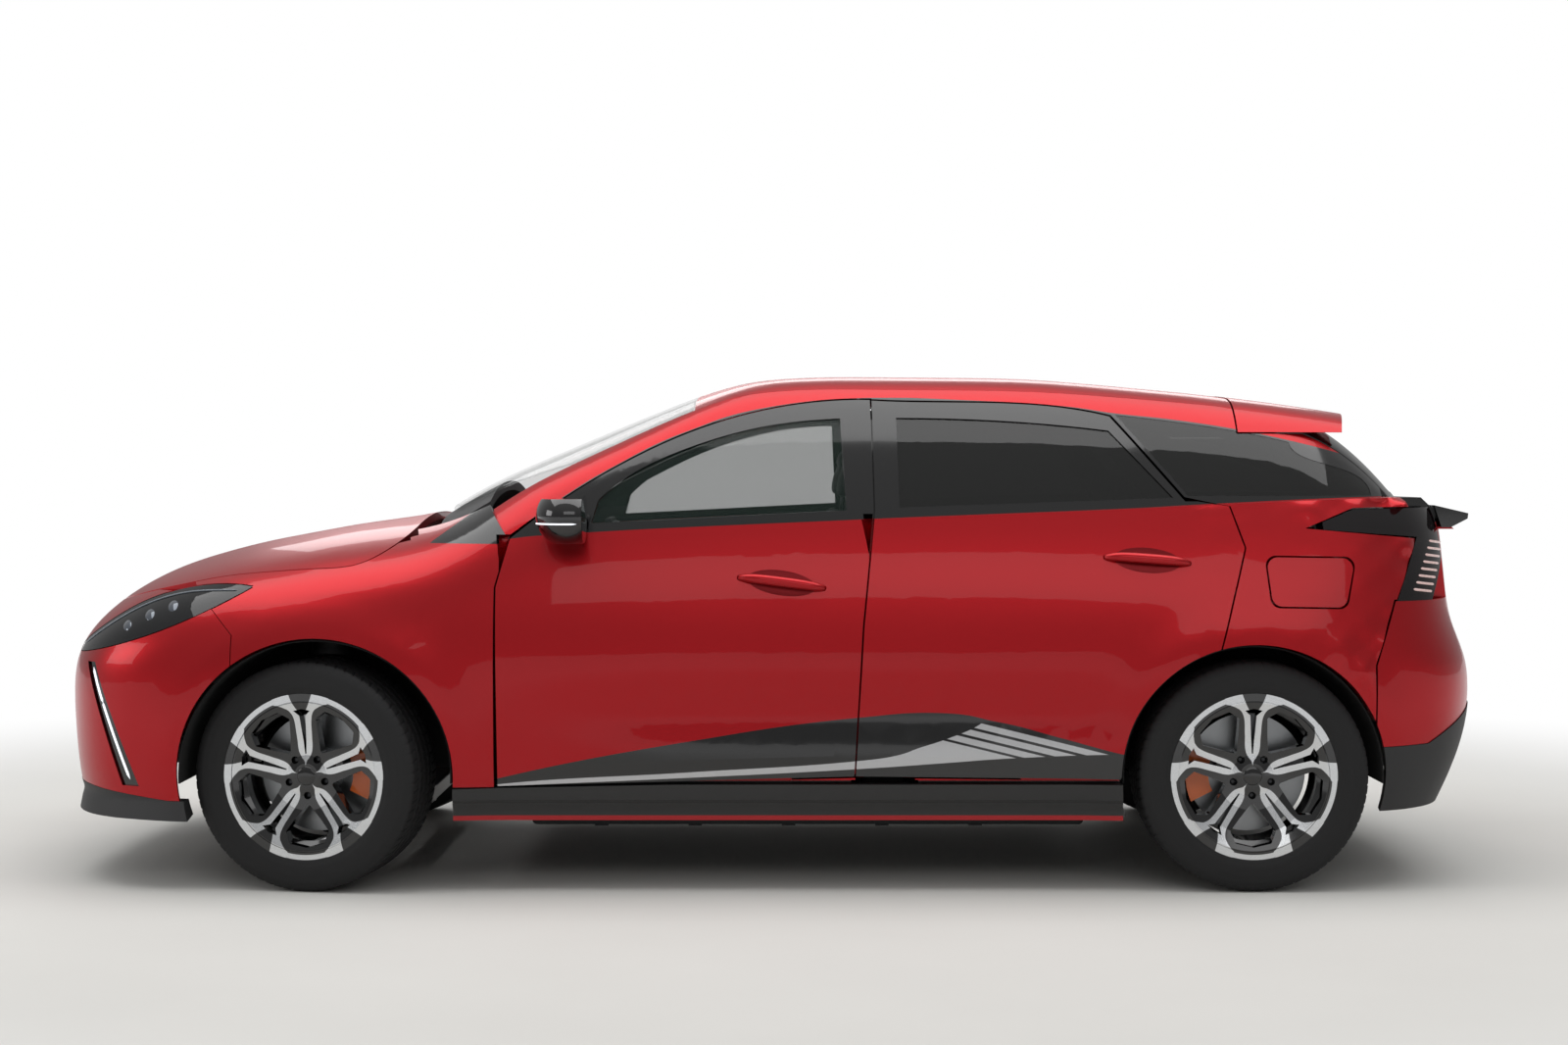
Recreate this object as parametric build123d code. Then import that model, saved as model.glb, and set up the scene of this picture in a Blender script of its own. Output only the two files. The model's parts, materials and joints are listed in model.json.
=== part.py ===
"""Five-door electric hatchback, built as separate panels, running gear and cabin pieces.

Frame: millimetres, +X to the nose, +Y to the car's left, +Z up. The origin is on the ground,
midway between the nose and the tail, on the centre plane.

The skin is one smooth level function for the lower body and one for the glasshouse. A panel is a
slab cut from that skin by the outline of its shut lines, so neighbours always meet flush.
"""

from build123d import *
import math
import os

import numpy as np

# ---------------------------------------------------------------- driving sizes (mm)
WHEELBASE = 2705.0
FRONT_OVERHANG = 842.0
REAR_OVERHANG = 740.0
BODY_HALF = 903.0            # half width of the door skins at the waist
ROOF_Z = 1512.0              # top of the roof above the ground
TRACK = 1552.0

TYRE_R = 334.0
TYRE_W = 235.0
RIM_R = 228.6                # bead seat radius of an 18 inch rim
DISC_R = 172.0
DISC_T = 24.0

GAP = 5.0                    # shut line between two outer panels
SWING = 2.0                  # room left around a panel edge that swings past another
FIT = 0.3                    # seat of one rigid piece in another
ARCH_F = 400.0               # wheel arch radii
ARCH_R = 383.0

SKIN = 12.0                  # fenders and bumpers
DOOR_T = 130.0               # whole door, skin to trim
WALL_T = 150.0               # whole side wall
FRAME_T = 42.0               # window frames and pillars
GLASS_T = 5.0
GLASS_IN = 4.0               # glass set back from the frame's face

STEER_PARKED = -10.0         # degrees about the kingpins, turned to the right
KINGPIN_LOW = (720.0, 200.0)     # y and z of the lower ball joint
KINGPIN_TOP = (560.0, 900.0)     # y and z of the strut's top mount

LENGTH = FRONT_OVERHANG + WHEELBASE + REAR_OVERHANG
AXLE_F = LENGTH / 2 - FRONT_OVERHANG
AXLE_R = AXLE_F - WHEELBASE
B_PILLAR = AXLE_R + 0.416 * WHEELBASE    # shut line between the doors, at the waist


def fa(d):
    """Station a distance ahead of the front axle."""
    return AXLE_F + d


def ra(d):
    """Station a distance ahead of the rear axle."""
    return AXLE_R + d


# ---------------------------------------------------------------- smooth master curves
def spline(*points):
    """Natural cubic through (position, value) pairs, straight beyond both ends."""
    xs, ys = np.array(sorted(points), dtype=float).T
    h = np.diff(xs)
    n = len(xs)
    a = np.eye(n)
    rhs = np.zeros(n)
    for i in range(1, n - 1):
        a[i, i - 1], a[i, i], a[i, i + 1] = h[i - 1], 2 * (h[i - 1] + h[i]), h[i]
        rhs[i] = 6 * ((ys[i + 1] - ys[i]) / h[i] - (ys[i] - ys[i - 1]) / h[i - 1])
    m = np.linalg.solve(a, rhs)
    start = (ys[1] - ys[0]) / h[0] - h[0] * m[1] / 6
    end = (ys[-1] - ys[-2]) / h[-1] + h[-1] * m[-2] / 6

    def at(x):
        x = np.asarray(x, dtype=float)
        i = np.clip(np.searchsorted(xs, x) - 1, 0, n - 2)
        u, v = xs[i + 1] - x, x - xs[i]
        inner = (m[i] * u**3 + m[i + 1] * v**3) / (6 * h[i]) + (ys[i] / h[i] - m[i] * h[i] / 6) * u
        inner = inner + (ys[i + 1] / h[i] - m[i + 1] * h[i] / 6) * v
        inner = np.where(x < xs[0], ys[0] + start * (x - xs[0]), inner)
        return np.where(x > xs[-1], ys[-1] + end * (x - xs[-1]), inner)

    return at


WAIST = 640.0                # height of the widest part of the doors
NOSE_X = LENGTH / 2
TAIL_X = -LENGTH / 2
FRONT_ROUND = fa(-250)       # where the plan starts to close towards the nose
REAR_ROUND = ra(200)

nose_at = spline((180, NOSE_X - 60), (300, NOSE_X - 34), (450, NOSE_X - 20), (600, NOSE_X - 12),
                 (720, NOSE_X - 14), (850, NOSE_X - 40), (1100, NOSE_X - 90))
tail_at = spline((180, TAIL_X + 120), (330, TAIL_X + 50), (450, TAIL_X + 12), (560, TAIL_X),
                 (660, TAIL_X + 12), (770, TAIL_X + 52), (900, TAIL_X + 66), (1010, TAIL_X + 58),
                 (1090, TAIL_X + 40), (1250, TAIL_X + 20))
deck_at = spline((fa(860), 752), (fa(650), 872), (fa(540), 921), (fa(410), 962), (fa(285), 993),
                 (fa(155), 1018), (fa(30), 1041), (fa(-100), 1060), (fa(-230), 1080),
                 (fa(-400), 1132), (fa(-650), 1280), (fa(-1000), 1400), (ra(500), 1420),
                 (ra(0), 1400), (ra(-300), 1340), (ra(-470), 1265), (ra(-600), 1172),
                 (ra(-720), 1092))
drop_at = spline((fa(900), 118), (fa(300), 118), (fa(-300), 112), (fa(-600), 60), (fa(-900), 22),
                 (ra(600), 14), (ra(-700), 14))
roof_at = spline((fa(-900), ROOF_Z - 62), (fa(-1050), ROOF_Z - 33), (fa(-1180), ROOF_Z - 19),
                 (fa(-1300), ROOF_Z - 9), (fa(-1450), ROOF_Z - 1), (fa(-1650), ROOF_Z),
                 (ra(800), ROOF_Z - 2), (ra(580), ROOF_Z - 8), (ra(455), ROOF_Z - 17),
                 (ra(265), ROOF_Z - 34), (ra(0), ROOF_Z - 60), (ra(-245), ROOF_Z - 92),
                 (ra(-435), ROOF_Z - 122))
screen_at = spline((1000, fa(-130)), (1097, fa(-286)), (1173, fa(-413)), (1234, fa(-540)),
                   (1284, fa(-655)), (1341, fa(-785)), (1402, fa(-925)), (1459, fa(-1060)),
                   (1520, fa(-1215)))
hatch_at = spline((1000, ra(-650)), (1123, ra(-576)), (1250, ra(-478)), (1370, ra(-372)),
                  (1480, ra(-262)))
glass_foot = spline((fa(-200), 790), (fa(-560), 812), (fa(-1000), 822), (B_PILLAR, 824),
                    (ra(500), 812), (ra(0), 782), (ra(-400), 728), (ra(-700), 664))
belt_at = spline((fa(-300), 985), (fa(-558), 1018), (fa(-640), 1027),
                 (B_PILLAR, 1074), (ra(60), 1118), (ra(-400), 1136), (ra(-700), 1140))


def half_width(x, z):
    """Half width of the lower body, without the rounding of nose and tail."""
    bow = np.where(z > WAIST, 4.0e-4, 1.75e-4) * (z - WAIST) ** 2
    haunch = 9 * np.exp(-(((x - AXLE_R) / 480) ** 2) - ((z - 760) / 190) ** 2)
    flare = 0.0
    for axle, radius in ((AXLE_F, ARCH_F), (AXLE_R, ARCH_R)):
        r = np.hypot(x - axle, z - TYRE_R)
        flare = flare + 12 / (1 + np.exp((r - radius - 80) / 22))
    scoop = 16 * np.exp(-(((z - 515) / 85) ** 2)) / (1 + np.exp((np.abs(x + 250) - 780) / 120))
    return BODY_HALF - bow + haunch + flare - scoop


def lower_level(x, y, z):
    """Below 1 inside the lower body's skin and above 1 outside it."""
    front = np.maximum(x - FRONT_ROUND, 0) / (nose_at(z) - FRONT_ROUND)
    rear = np.maximum(REAR_ROUND - x, 0) / (REAR_ROUND - tail_at(z))
    side = np.abs(y) / half_width(x, z)
    plan = (side**3.6 + front**5 + rear**5) ** 0.25
    crown = deck_at(x) - drop_at(x) * (np.abs(y) / 880) ** 2.2
    return (plan**11 + (z / crown) ** 11) ** (1 / 11)


def upper_level(x, y, z, closed=1.0):
    """Below 1 inside the glasshouse's skin and above 1 outside it; closed=0 leaves the rear open."""
    middle = B_PILLAR - 100
    foot = glass_foot(x) - 0.40 * (z - 1030) - 0.00026 * (z - 1030) ** 2
    side = np.abs(y) / np.maximum(foot, 60)
    roof = z / (roof_at(x) - 30 * (y / 600) ** 2)
    bend = (np.abs(y) / 640) ** 2.2
    front = np.maximum(x - middle, 0) / (screen_at(z) - 150 * bend - middle)
    rear = closed * np.maximum(middle - x, 0) / (middle - hatch_at(z) - 120 * bend)
    return (side**16 + roof**16 + front**16 + rear**16) ** (1 / 16)


def roof_level(x, y, z):
    """The glasshouse's roof line carried on over the rear window, for the spoiler."""
    return upper_level(x, y, z, closed=0.0)


def reach(level, origin, heading, far):
    """Where rays from inside the body leave its skin."""
    low = np.zeros(origin[0].shape)
    high = low + far
    for _ in range(46):
        mid = (low + high) / 2
        inside = level(*(o + mid * d for o, d in zip(origin, heading))) < 1
        low, high = np.where(inside, mid, low), np.where(inside, high, mid)
    return np.stack([o + low * d for o, d in zip(origin, heading)], axis=-1)


def outward(level, p):
    """Unit normals of the skin at an array of points."""
    step = 2.0
    x, y, z = p[..., 0], p[..., 1], p[..., 2]
    n = np.stack([level(x + step, y, z) - level(x - step, y, z),
                  level(x, y + step, z) - level(x, y - step, z),
                  level(x, y, z + step) - level(x, y, z - step)], axis=-1)
    return n / np.linalg.norm(n, axis=-1, keepdims=True)


def side_points(level, x0, x1, z0, z1, nx=30, nz=18):
    """Skin met by rays along Y; the upper edge z1 is a height or a curve along X."""
    x, v = np.meshgrid(np.linspace(x0, x1, nx), np.linspace(0, 1, nz), indexing="ij")
    top = z1(x) if callable(z1) else z1
    z = z0 + (top - z0) * v
    zero = np.zeros_like(x)
    return reach(level, (x, zero, z), (zero, zero + 1, zero), 1300)


def top_points(level, x0, x1, y0, y1, nx=26, ny=21, floor=300.0):
    x, y = np.meshgrid(np.linspace(x0, x1, nx), np.linspace(y0, y1, ny), indexing="ij")
    zero = np.zeros_like(x)
    return reach(level, (x, y, zero + floor), (zero, zero, zero + 1), 1500)


def end_points(level, x0, sign, spread, z0, z1, na=41, nz=16):
    """Skin round the nose (sign 1) or the tail (sign -1), from one side to the other."""
    turn = np.radians(spread) * np.linspace(-1, 1, na)
    a, z = np.meshgrid(turn, np.linspace(z0, z1, nz), indexing="ij")
    zero = np.zeros_like(a)
    heading = (sign * np.cos(a), np.sin(a), zero)
    return reach(level, (zero + x0, zero, z), heading, 3200)


def ring_points(level, x0, x1, low, high, nx=30, na=14, centre=900.0):
    """Skin met by rays fanned out in each cross-section; angles are from +Y towards +Z."""
    x, a = np.meshgrid(np.linspace(x0, x1, nx), np.radians(np.linspace(low, high, na)),
                       indexing="ij")
    zero = np.zeros_like(x)
    return reach(level, (x, zero, zero + centre), (zero, np.cos(a), np.sin(a)), 1500)


def screen_points(level, x0, sign, y1, z0, z1, ny=25, nz=16):
    """Skin met by rays along X, for the windscreen and the rear window."""
    y, z = np.meshgrid(np.linspace(-y1, y1, ny), np.linspace(z0, z1, nz), indexing="ij")
    zero = np.zeros_like(y)
    return reach(level, (zero + x0, y, z), (zero + sign, zero, zero), 3200)


def face_through(points):
    rows = [[Vector(*map(float, p)) for p in row] for row in points]
    return Face.make_surface_from_array_of_points(rows, tol=0.02, min_deg=3, max_deg=3)


def slab(outer, inner):
    """Closed solid between two grids of points."""
    top, bottom = face_through(outer), face_through(inner)
    walls = []
    for edge in top.edges():
        middle = edge.center()
        mate = min(bottom.edges(), key=lambda e: (e.center() - middle).length)
        walls.append(Face.make_surface_from_curves(edge, mate))
    solid = Solid(Shell([top, bottom] + walls))
    return solid if solid.volume > 0 else Solid(Shell([f for f in solid.faces()]))


def shifted(points, dx=0.0, dy=0.0, dz=0.0):
    return points + np.array([dx, dy, dz])


def sunk(level, points, depth):
    return points - depth * outward(level, points)


# ---------------------------------------------------------------- outlines and prisms
AXES = {"XZ": lambda a, b: (a, 0, b), "XY": lambda a, b: (a, b, 0), "YZ": lambda a, b: (0, a, b)}
ALONG = {"XZ": (0, 1, 0), "XY": (0, 0, 1), "YZ": (1, 0, 0)}


def loop_face(plane, runs):
    """Face from runs of points: two points make a line, more make a smooth curve."""
    place = AXES[plane]
    edges = []
    for i, run in enumerate(runs):
        nxt = runs[(i + 1) % len(runs)][0]
        pts = [Vector(*place(*p)) for p in list(run) + [nxt]]
        edges.append(Edge.make_line(*pts) if len(pts) == 2 else Edge.make_spline(pts))
    return Face(Wire(edges))


def prism(plane, runs, low, high):
    """Extrusion of an outline between two distances along its normal."""
    axis = Vector(*ALONG[plane])
    return Solid.extrude(loop_face(plane, runs).moved(Location(axis * low)), axis * (high - low))


def poly(plane, points, low, high, radius=0.0):
    face = loop_face(plane, [[p] for p in points])
    if radius:
        face = face.fillet_2d(radius, face.vertices())
    axis = Vector(*ALONG[plane])
    return Solid.extrude(face.moved(Location(axis * low)), axis * (high - low))


def block(x0, x1, y0, y1, z0, z1, radius=0.0):
    box = Pos((x0 + x1) / 2, (y0 + y1) / 2, (z0 + z1) / 2) * Box(x1 - x0, y1 - y0, z1 - z0)
    return fillet(box.edges(), radius) if radius else box


def rod(start, end, radius):
    """Round bar between two points."""
    a, b = Vector(*start), Vector(*end)
    base = Plane(origin=a, z_dir=(b - a))
    return Solid.extrude(Face(Wire.make_circle(radius, base)), b - a)


def across(x, z, radius, y0, y1):
    return rod((x, y0, z), (x, y1, z), radius)


def turned(profile, radius_axis="X"):
    """Solid of revolution about Z from (radius, height) points."""
    face = Face(Wire.make_polygon([Vector(r, 0, h) for r, h in profile], close=True))
    return Solid.revolve(face, 360, Axis.Z)


def mirrored(shape):
    return mirror(shape, about=Plane.XZ)


def pair(shape):
    return [shape, mirrored(shape)]


def solids_of(*shapes):
    found = []
    for shape in shapes:
        for item in (shape if isinstance(shape, (list, tuple, ShapeList)) else [shape]):
            found.extend(item.solids())
    return found


def write(name, *shapes, lean=False):
    """One file per piece; a lean file leaves out the curves' copies in each face's own space."""
    solids = solids_of(*shapes)
    piece = Compound(children=solids) if len(solids) > 1 else solids[0]
    export_step(piece, f"parts/{name}.step", write_pcurves=not lean)
    print(name, len(solids))


# ---------------------------------------------------------------- shut lines, seen from the side
DOOR_FOOT = 318.0            # lower edge of the door skins
EDGE_T = 45.0                # a door's rim, outside the body's aperture flange
FLANGE = 50.0                # width of that flange
FLANGE_Y = 783.0             # face of the flange below the belt
HINGE_BACK = 60.0            # hinge axis behind a door's leading edge
HINGE_IN = 12.0              # hinge axis inside the skin at the height of the belt


def front_door_runs(g=0.0):
    a = AXLE_F
    b = B_PILLAR
    return [
        [(b + 26 - g, DOOR_FOOT + 18 - g)],
        [(a - 527 + g, DOOR_FOOT - 10 - g)],
        [(a - 521 + g, 879)],
        [(a - 558 + g, 1020 + 1.5 * g), (a - 702, 1129 + g), (a - 846, 1218 + g),
         (a - 1073, 1328 + g), (a - 1304, 1397 + g)],
        [(b - 28 - g, 1426 + g)],
        [(b - 32 - g, 1102)],
        [(b + 2 - g, 766)],
    ]


def rear_door_runs(g=0.0):
    a = AXLE_R
    b = B_PILLAR
    return [
        [(a + 386 - g, DOOR_FOOT + 10 - g)],
        [(b + 21 + g, DOOR_FOOT + 18 - g)],
        [(b - 3 + g, 766)],
        [(b - 37 + g, 1102)],
        [(b - 33 + g, 1424 + g), (b - 330, 1418 + g), (b - 620, 1400 + g)],
        [(a + 385 - g, 1376 + g)],
        [(a + 186 - g, 1132 + 1.2 * g)],
        [(a + 62 - g, 1112)],
        [(a + 24 - g, 992)],
        [(a + 104 - g, 700)],
        [(a + 104 - g, 520)],
        [(a + 340 - g, 480)],
    ]


def front_window_runs():
    a = AXLE_F
    b = B_PILLAR
    return [
        [(a - 790, 1062)],
        [(a - 810, 1130), (a - 905, 1205), (a - 1073, 1284), (a - 1290, 1346)],
        [(b + 62, 1370)],
        [(b + 46, 1100)],
    ]


def rear_window_runs():
    a = AXLE_R
    b = B_PILLAR
    return [
        [(b - 108, 1108)],
        [(b - 104, 1372), (b - 340, 1367), (b - 590, 1350)],
        [(a + 392, 1334)],
        [(a + 215, 1136)],
    ]


def quarter_runs(g=0.0):
    a = AXLE_R
    return [
        [(a + 170 + g, 1142 - g)],
        [(a + 366 + g, 1381 + g), (a + 200, 1362 + g), (a + 20, 1335 + g)],
        [(a - 150, 1300 + g), (a - 290, 1225 + g), (a - 390 - g, 1152)],
        [(a - 390 - g, 1142 - g)],
    ]


def front_edge_x(z):
    return float(np.interp(z, [300, 879, 1020], [fa(-527), fa(-521), fa(-558)]))


def rear_edge_x(z):
    b = B_PILLAR
    return float(np.interp(z, [336, 766, 1102], [b + 21, b - 3, b - 37]))


HINGE_Y = BODY_HALF - 4.0e-4 * (1000 - WAIST) ** 2 - HINGE_IN
FRONT_HINGE = (fa(-521) - HINGE_BACK, HINGE_Y)
REAR_HINGE = (B_PILLAR - 3 - HINGE_BACK, HINGE_Y)
HINGE_LEVELS = (470.0, 820.0)


def lower_side_y(x, z):
    return float(side_points(lower_level, x, x + 1, z, z + 1, 2, 2)[0, 0, 1])


def door_sweep(axis, edge_x, z0, z1):
    """Round solid that a door's leading edge stays in while the door turns."""
    profile = [(0.0, z0)]
    for z in np.linspace(z0, z1, 21):
        run, out = edge_x(z) - axis[0], lower_side_y(edge_x(z), z) - axis[1]
        radius = max(math.hypot(run, out), math.hypot(run, out - EDGE_T))
        profile.append((radius + SWING, float(z)))
    profile.append((0.0, z1))
    return Pos(axis[0], axis[1], 0) * turned(profile)


def front_sweep():
    return door_sweep(FRONT_HINGE, front_edge_x, 290, 1030)


def rear_sweep():
    return door_sweep(REAR_HINGE, rear_edge_x, 300, 1090)


PIN_R = 7.0
LEAF_H = 14.0
BARREL_H = 52.0


def hinge_fixed(axis, z):
    """Pin and two leaves that reach inboard to the pillar's flange."""
    x, y = axis
    pin = rod((x, y, z - BARREL_H / 2 - LEAF_H), (x, y, z + BARREL_H / 2 + LEAF_H), PIN_R)
    for low in (z - BARREL_H / 2 - LEAF_H, z + BARREL_H / 2 + 1):
        pin += block(x - 8, x + 8, y - 96, y + 8, low, low + LEAF_H - 1)
        pin += block(x - 8, x + 62, y - 108, y - 88, low, low + LEAF_H - 1)
    return pin


def hinge_moving(axis, z):
    """Barrel round the pin with an arm that runs back into the door's rim."""
    x, y = axis
    low, high = z - BARREL_H / 2 + 1, z + BARREL_H / 2
    body = rod((x, y, low), (x, y, high), 14) + block(x - 62, x, y - 9, y + 9, low, high)
    return body - rod((x, y, low - 5), (x, y, high + 5), PIN_R + 0.05)


# ---------------------------------------------------------------- shared cutters
RAIL_HALF = spline((fa(-200), 748), (fa(-500), 700), (fa(-800), 642), (fa(-1060), 590),
                   (fa(-1300), 560), (B_PILLAR, 556), (ra(500), 552), (ra(0), 543),
                   (ra(-420), 512))
HATCH_HALF = 600.0           # side split between the tailgate and the rear corners
HATCH_FRONT = ra(2)          # front edge of the spoiler
HATCH_HINGE = (HATCH_FRONT + 60, ROOF_Z - 86)
HATCH_HINGE_Y = (-250.0, 250.0)
NECK = 68.0                  # drop of the curved hinge arms below their pins
HATCH_FOOT = 748.0


def strip(x0, x1, half, low=0.0, high=1700.0, count=9):
    """Vertical prism over a strip of the plan whose half width is a curve along X."""
    xs = np.linspace(x0, x1, count)
    left = [(float(x), float(half(x))) for x in xs]
    right = [(x, -y) for x, y in reversed(left)]
    return prism("XY", [left[:-1], [left[-1]], right[:-1], [right[-1]]], low, high)


def below_belt(drop=0.0):
    """Everything under the belt line, seen from the side."""
    xs = [fa(-300), fa(-560), fa(-900), B_PILLAR, ra(500), ra(60), ra(-300), ra(-700)]
    line = [(x, float(belt_at(x)) - drop) for x in xs]
    return prism("XZ", [line, [(ra(-700), 100)], [(fa(-300), 100)]], -1300, 1300)


def arch(axle, radius, inner=0.0, outer=1200.0):
    return across(axle, TYRE_R, radius, inner, outer)


FLAP_X = ra(-66)             # hinge axis of the charge lid, just behind its front edge
FLAP_PIN_R = 3.0


def flap_axis(z):
    """Point on the lid's hinge axis, 10 mm under the skin and leaning in with it."""
    return FLAP_X, 887.5 - (z - 830) * 0.267, z


def charge_prism(g=0.0):
    a = AXLE_R
    pts = [(a - 36 + g, 966 + g), (a - 50 + g, 826 - g), (a - 262 - g, 822 - g),
           (a - 296 - g, 962 + g)]
    return poly("XZ", pts, 500, 1200, 30)


def tail_lamp_prism(g=0.0):
    a = AXLE_R
    return poly("XZ", [(a - 160 + g, 1048), (a - 300, 1102 + g), (TAIL_X - 60, 1112 + g),
                       (TAIL_X - 60, 1020), (a - 640, 1020), (a - 545, 838 - g),
                       (a - 420 + g, 838 - g), (a - 500 + g, 1022 - g)], 300, 1200)


def rear_bumper_prism(g=0.0):
    return poly("XZ", [(ra(-352) - g, 100), (ra(-352) - g, 655), (ra(-415) - g, 838 - g),
                       (TAIL_X - 80, 838 - g), (TAIL_X - 80, 100)], -1300, 1300)


# ---------------------------------------------------------------- body shell
SILL_Z = 215.0
SKIRT_Y = 845.0              # inner face of the side skirts
FLOOR_EDGE = 760.0           # the floor's edge, let into a slot along each sill
CABIN_HALF = 735.0
FLOOR_Z = 300.0
FLOOR_T = 22.0
BOOT_Z = 560.0
FIREWALL_X = fa(-430)
LINER_IN_F = 470.0           # inner walls of the wheel arch liners
LINER_IN_R = 520.0


def body_side():
    """Left side wall: sill, pillars, cant rail and rear quarter, with both door apertures."""
    skin = side_points(lower_level, ra(-560), fa(-440), SILL_Z, belt_at, 40, 18)
    wall = slab(skin, shifted(skin, dy=-WALL_T))
    ring = ring_points(upper_level, ra(-430), fa(-330), 4, 58, 56, 18)
    rail = slab(ring, shifted(ring, dy=-66, dz=-40))
    rail &= block(ra(-600), fa(-200), 0, 1200, 900, 1600)
    rail -= strip(ra(-600), fa(-200), RAIL_HALF, count=25)
    rail -= below_belt(30)
    shallow_top = slab(shifted(ring, dy=30, dz=15), shifted(ring, dy=-FRAME_T - 2 * GAP, dz=-20))
    shell = wall + rail
    for runs in (front_door_runs, rear_door_runs):
        outline = prism("XZ", runs(GAP), 300, 1300)
        shell -= prism("XZ", runs(GAP), FLANGE_Y, 1300)
        shell -= outline & shallow_top
        shell -= prism("XZ", runs(-FLANGE), 300, 1300)
    shell -= prism("XZ", quarter_runs(), 300, 1300)
    shell -= prism("XZ", rear_door_runs(GAP), 640, 1300) & block(-1320, -1200, 640, 1300, 1080, 1130)
    shell -= fender_seat()
    shell -= block(ra(360), fa(-400), SKIRT_Y - FIT, 1000, 190, DOOR_FOOT + 8)
    shell -= block(-901, 701, 0, FLOOR_EDGE + FIT, FLOOR_Z - FIT, FLOOR_Z + FLOOR_T + FIT)
    shell -= arch(AXLE_R, ARCH_R)
    shell -= front_sweep()
    shell -= rear_sweep()
    shell -= rear_bumper_prism(-GAP)
    shell -= tail_lamp_prism(GAP)
    shell -= hatch_clearance()
    shell = max(shell.solids(), key=lambda s: s.volume)
    for axis in (FRONT_HINGE, REAR_HINGE):
        for z in HINGE_LEVELS:
            shell += hinge_fixed(axis, z)
    return shell


def fender_seat():
    """Rebate ahead of the front door in which the fender lies."""
    ring = ring_points(lower_level, fa(-640), fa(-315), -30, 38, 16, 22, 660.0)
    rebate = slab(sunk(lower_level, ring, -30), sunk(lower_level, ring, SKIN + FIT))
    return rebate & poly("XZ", [(fa(-521), 250), (fa(-521), 879), (fa(-558), 1016),
                                (fa(-424), 1200), (fa(-300), 1200), (fa(-300), 250)], 0, 1300)


def hatch_clearance():
    """Room for the tailgate: behind its frame, under the spoiler, and above the rear deck."""
    edge = screen_points(upper_level, B_PILLAR - 200, -1, 580, 1085, 1372, 5, 9)[-1]
    line = [(float(x) + 40 + GAP, float(z)) for x, _, z in edge]
    frame = prism("XZ", [line, [(TAIL_X - 100, 1372)], [(TAIL_X - 100, 1085)]], -580, 580)
    frame += block(TAIL_X - 100, HATCH_FRONT + GAP, -627, 627, 1330 - GAP, 1700)
    frame += poly("XZ", [(HATCH_FRONT + GAP, 1600), (HATCH_FRONT + GAP, 1395), (ra(-330), 1300),
                        (ra(-420), 1200), (ra(-470), 1110), (ra(-545), 1110), (ra(-900), 1110),
                        (ra(-900), 1600)], -HATCH_HALF - 200, HATCH_HALF + 200)
    return frame


def floor_pan():
    """Pressed floor from the toe board to the boot, with the firewall, in one sheet."""
    t = FLOOR_T
    f = FIREWALL_X
    top = [(f + 20, 1010), (f + 20, 640), (f - 150, FLOOR_Z + t), (ra(430), FLOOR_Z + t),
           (ra(330), BOOT_Z + t), (ra(-560), BOOT_Z + t)]
    low = [(ra(-560), BOOT_Z), (ra(330) - t, BOOT_Z), (ra(430) - t, FLOOR_Z),
           (f - 150 + t / 2, FLOOR_Z), (f + 20 + t, 640 - t / 2), (f + 20 + t, 1010)]
    pan = poly("XZ", top + low, -CABIN_HALF + 20, CABIN_HALF - 20)
    edge = LINER_IN_R - 4 - FIT
    pan -= block(ra(-700), ra(420), edge, 900, 200, 1100)
    pan -= block(ra(-700), ra(420), -900, -edge, 200, 1100)
    return pan + block(-900, 700, -FLOOR_EDGE, FLOOR_EDGE, FLOOR_Z, FLOOR_Z + FLOOR_T)


def roof_panel():
    ring = ring_points(upper_level, HATCH_FRONT + GAP, fa(-1075), 38, 142, 34, 27)
    shell = slab(ring, sunk(upper_level, ring, SKIN))
    half = lambda x: RAIL_HALF(x) - 0.6
    shell &= strip(HATCH_FRONT + GAP, fa(-1085), half, 1300, count=17)
    x, z = HATCH_HINGE
    for y in HATCH_HINGE_Y:
        shell += rod((x, y - 24, z), (x, y + 24, z), 4)
        for low in (y - 24, y + 14):
            shell += block(x - 8, x + 8, low, low + 10, z - 6, z + 16)
    return shell


def windscreen():
    ring = ring_points(upper_level, fa(-1079), fa(-285), 28, 152, 30, 27)
    glass = slab(ring, sunk(upper_level, ring, GLASS_T + 1))
    half = lambda x: RAIL_HALF(x) - 0.6
    sheet = glass & strip(fa(-1079), fa(-285), half, 1000, count=21)
    return sheet & poly("XY", [(fa(-1079), -800), (fa(-1079), 800), (fa(-560), 800),
                               (fa(-420), 600), (fa(-330), 330), (fa(-305), 0), (fa(-330), -330),
                               (fa(-420), -600), (fa(-560), -800)], 900, 1700)


# ---------------------------------------------------------------- front end
BONNET_REAR = fa(-246)
BONNET_HINGE = (BONNET_REAR + 30, 995.0)
NOSE_SPLIT = fa(722)         # front edge of the bonnet on the centre line


def bonnet_runs(g=0.0):
    """Plan outline of the bonnet; g moves it outwards."""
    left = [(BONNET_REAR - g, 0), (BONNET_REAR - g, 380), (fa(-232) - g, 590 + g)]
    side = [(fa(-205) - g, 668 + g), (fa(-120), 752 + g), (fa(20), 752 + g), (fa(160), 728 + g),
            (fa(300), 702 + g)]
    nose = [(fa(470) + g, 655 + g), (fa(590) + g, 560 + g), (fa(670) + g, 400 + g)]
    tip = [(fa(712) + g, 200)]
    half = left[1:] + side + nose + tip
    back = [(x, -y) for x, y in reversed(half)]
    return [half, [(NOSE_SPLIT + g, 0)] + back[:-1], [back[-1]]]


def bonnet_prism(g=0.0, low=600.0):
    left = bonnet_runs(g)
    return prism("XY", left, low, 1400)


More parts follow.
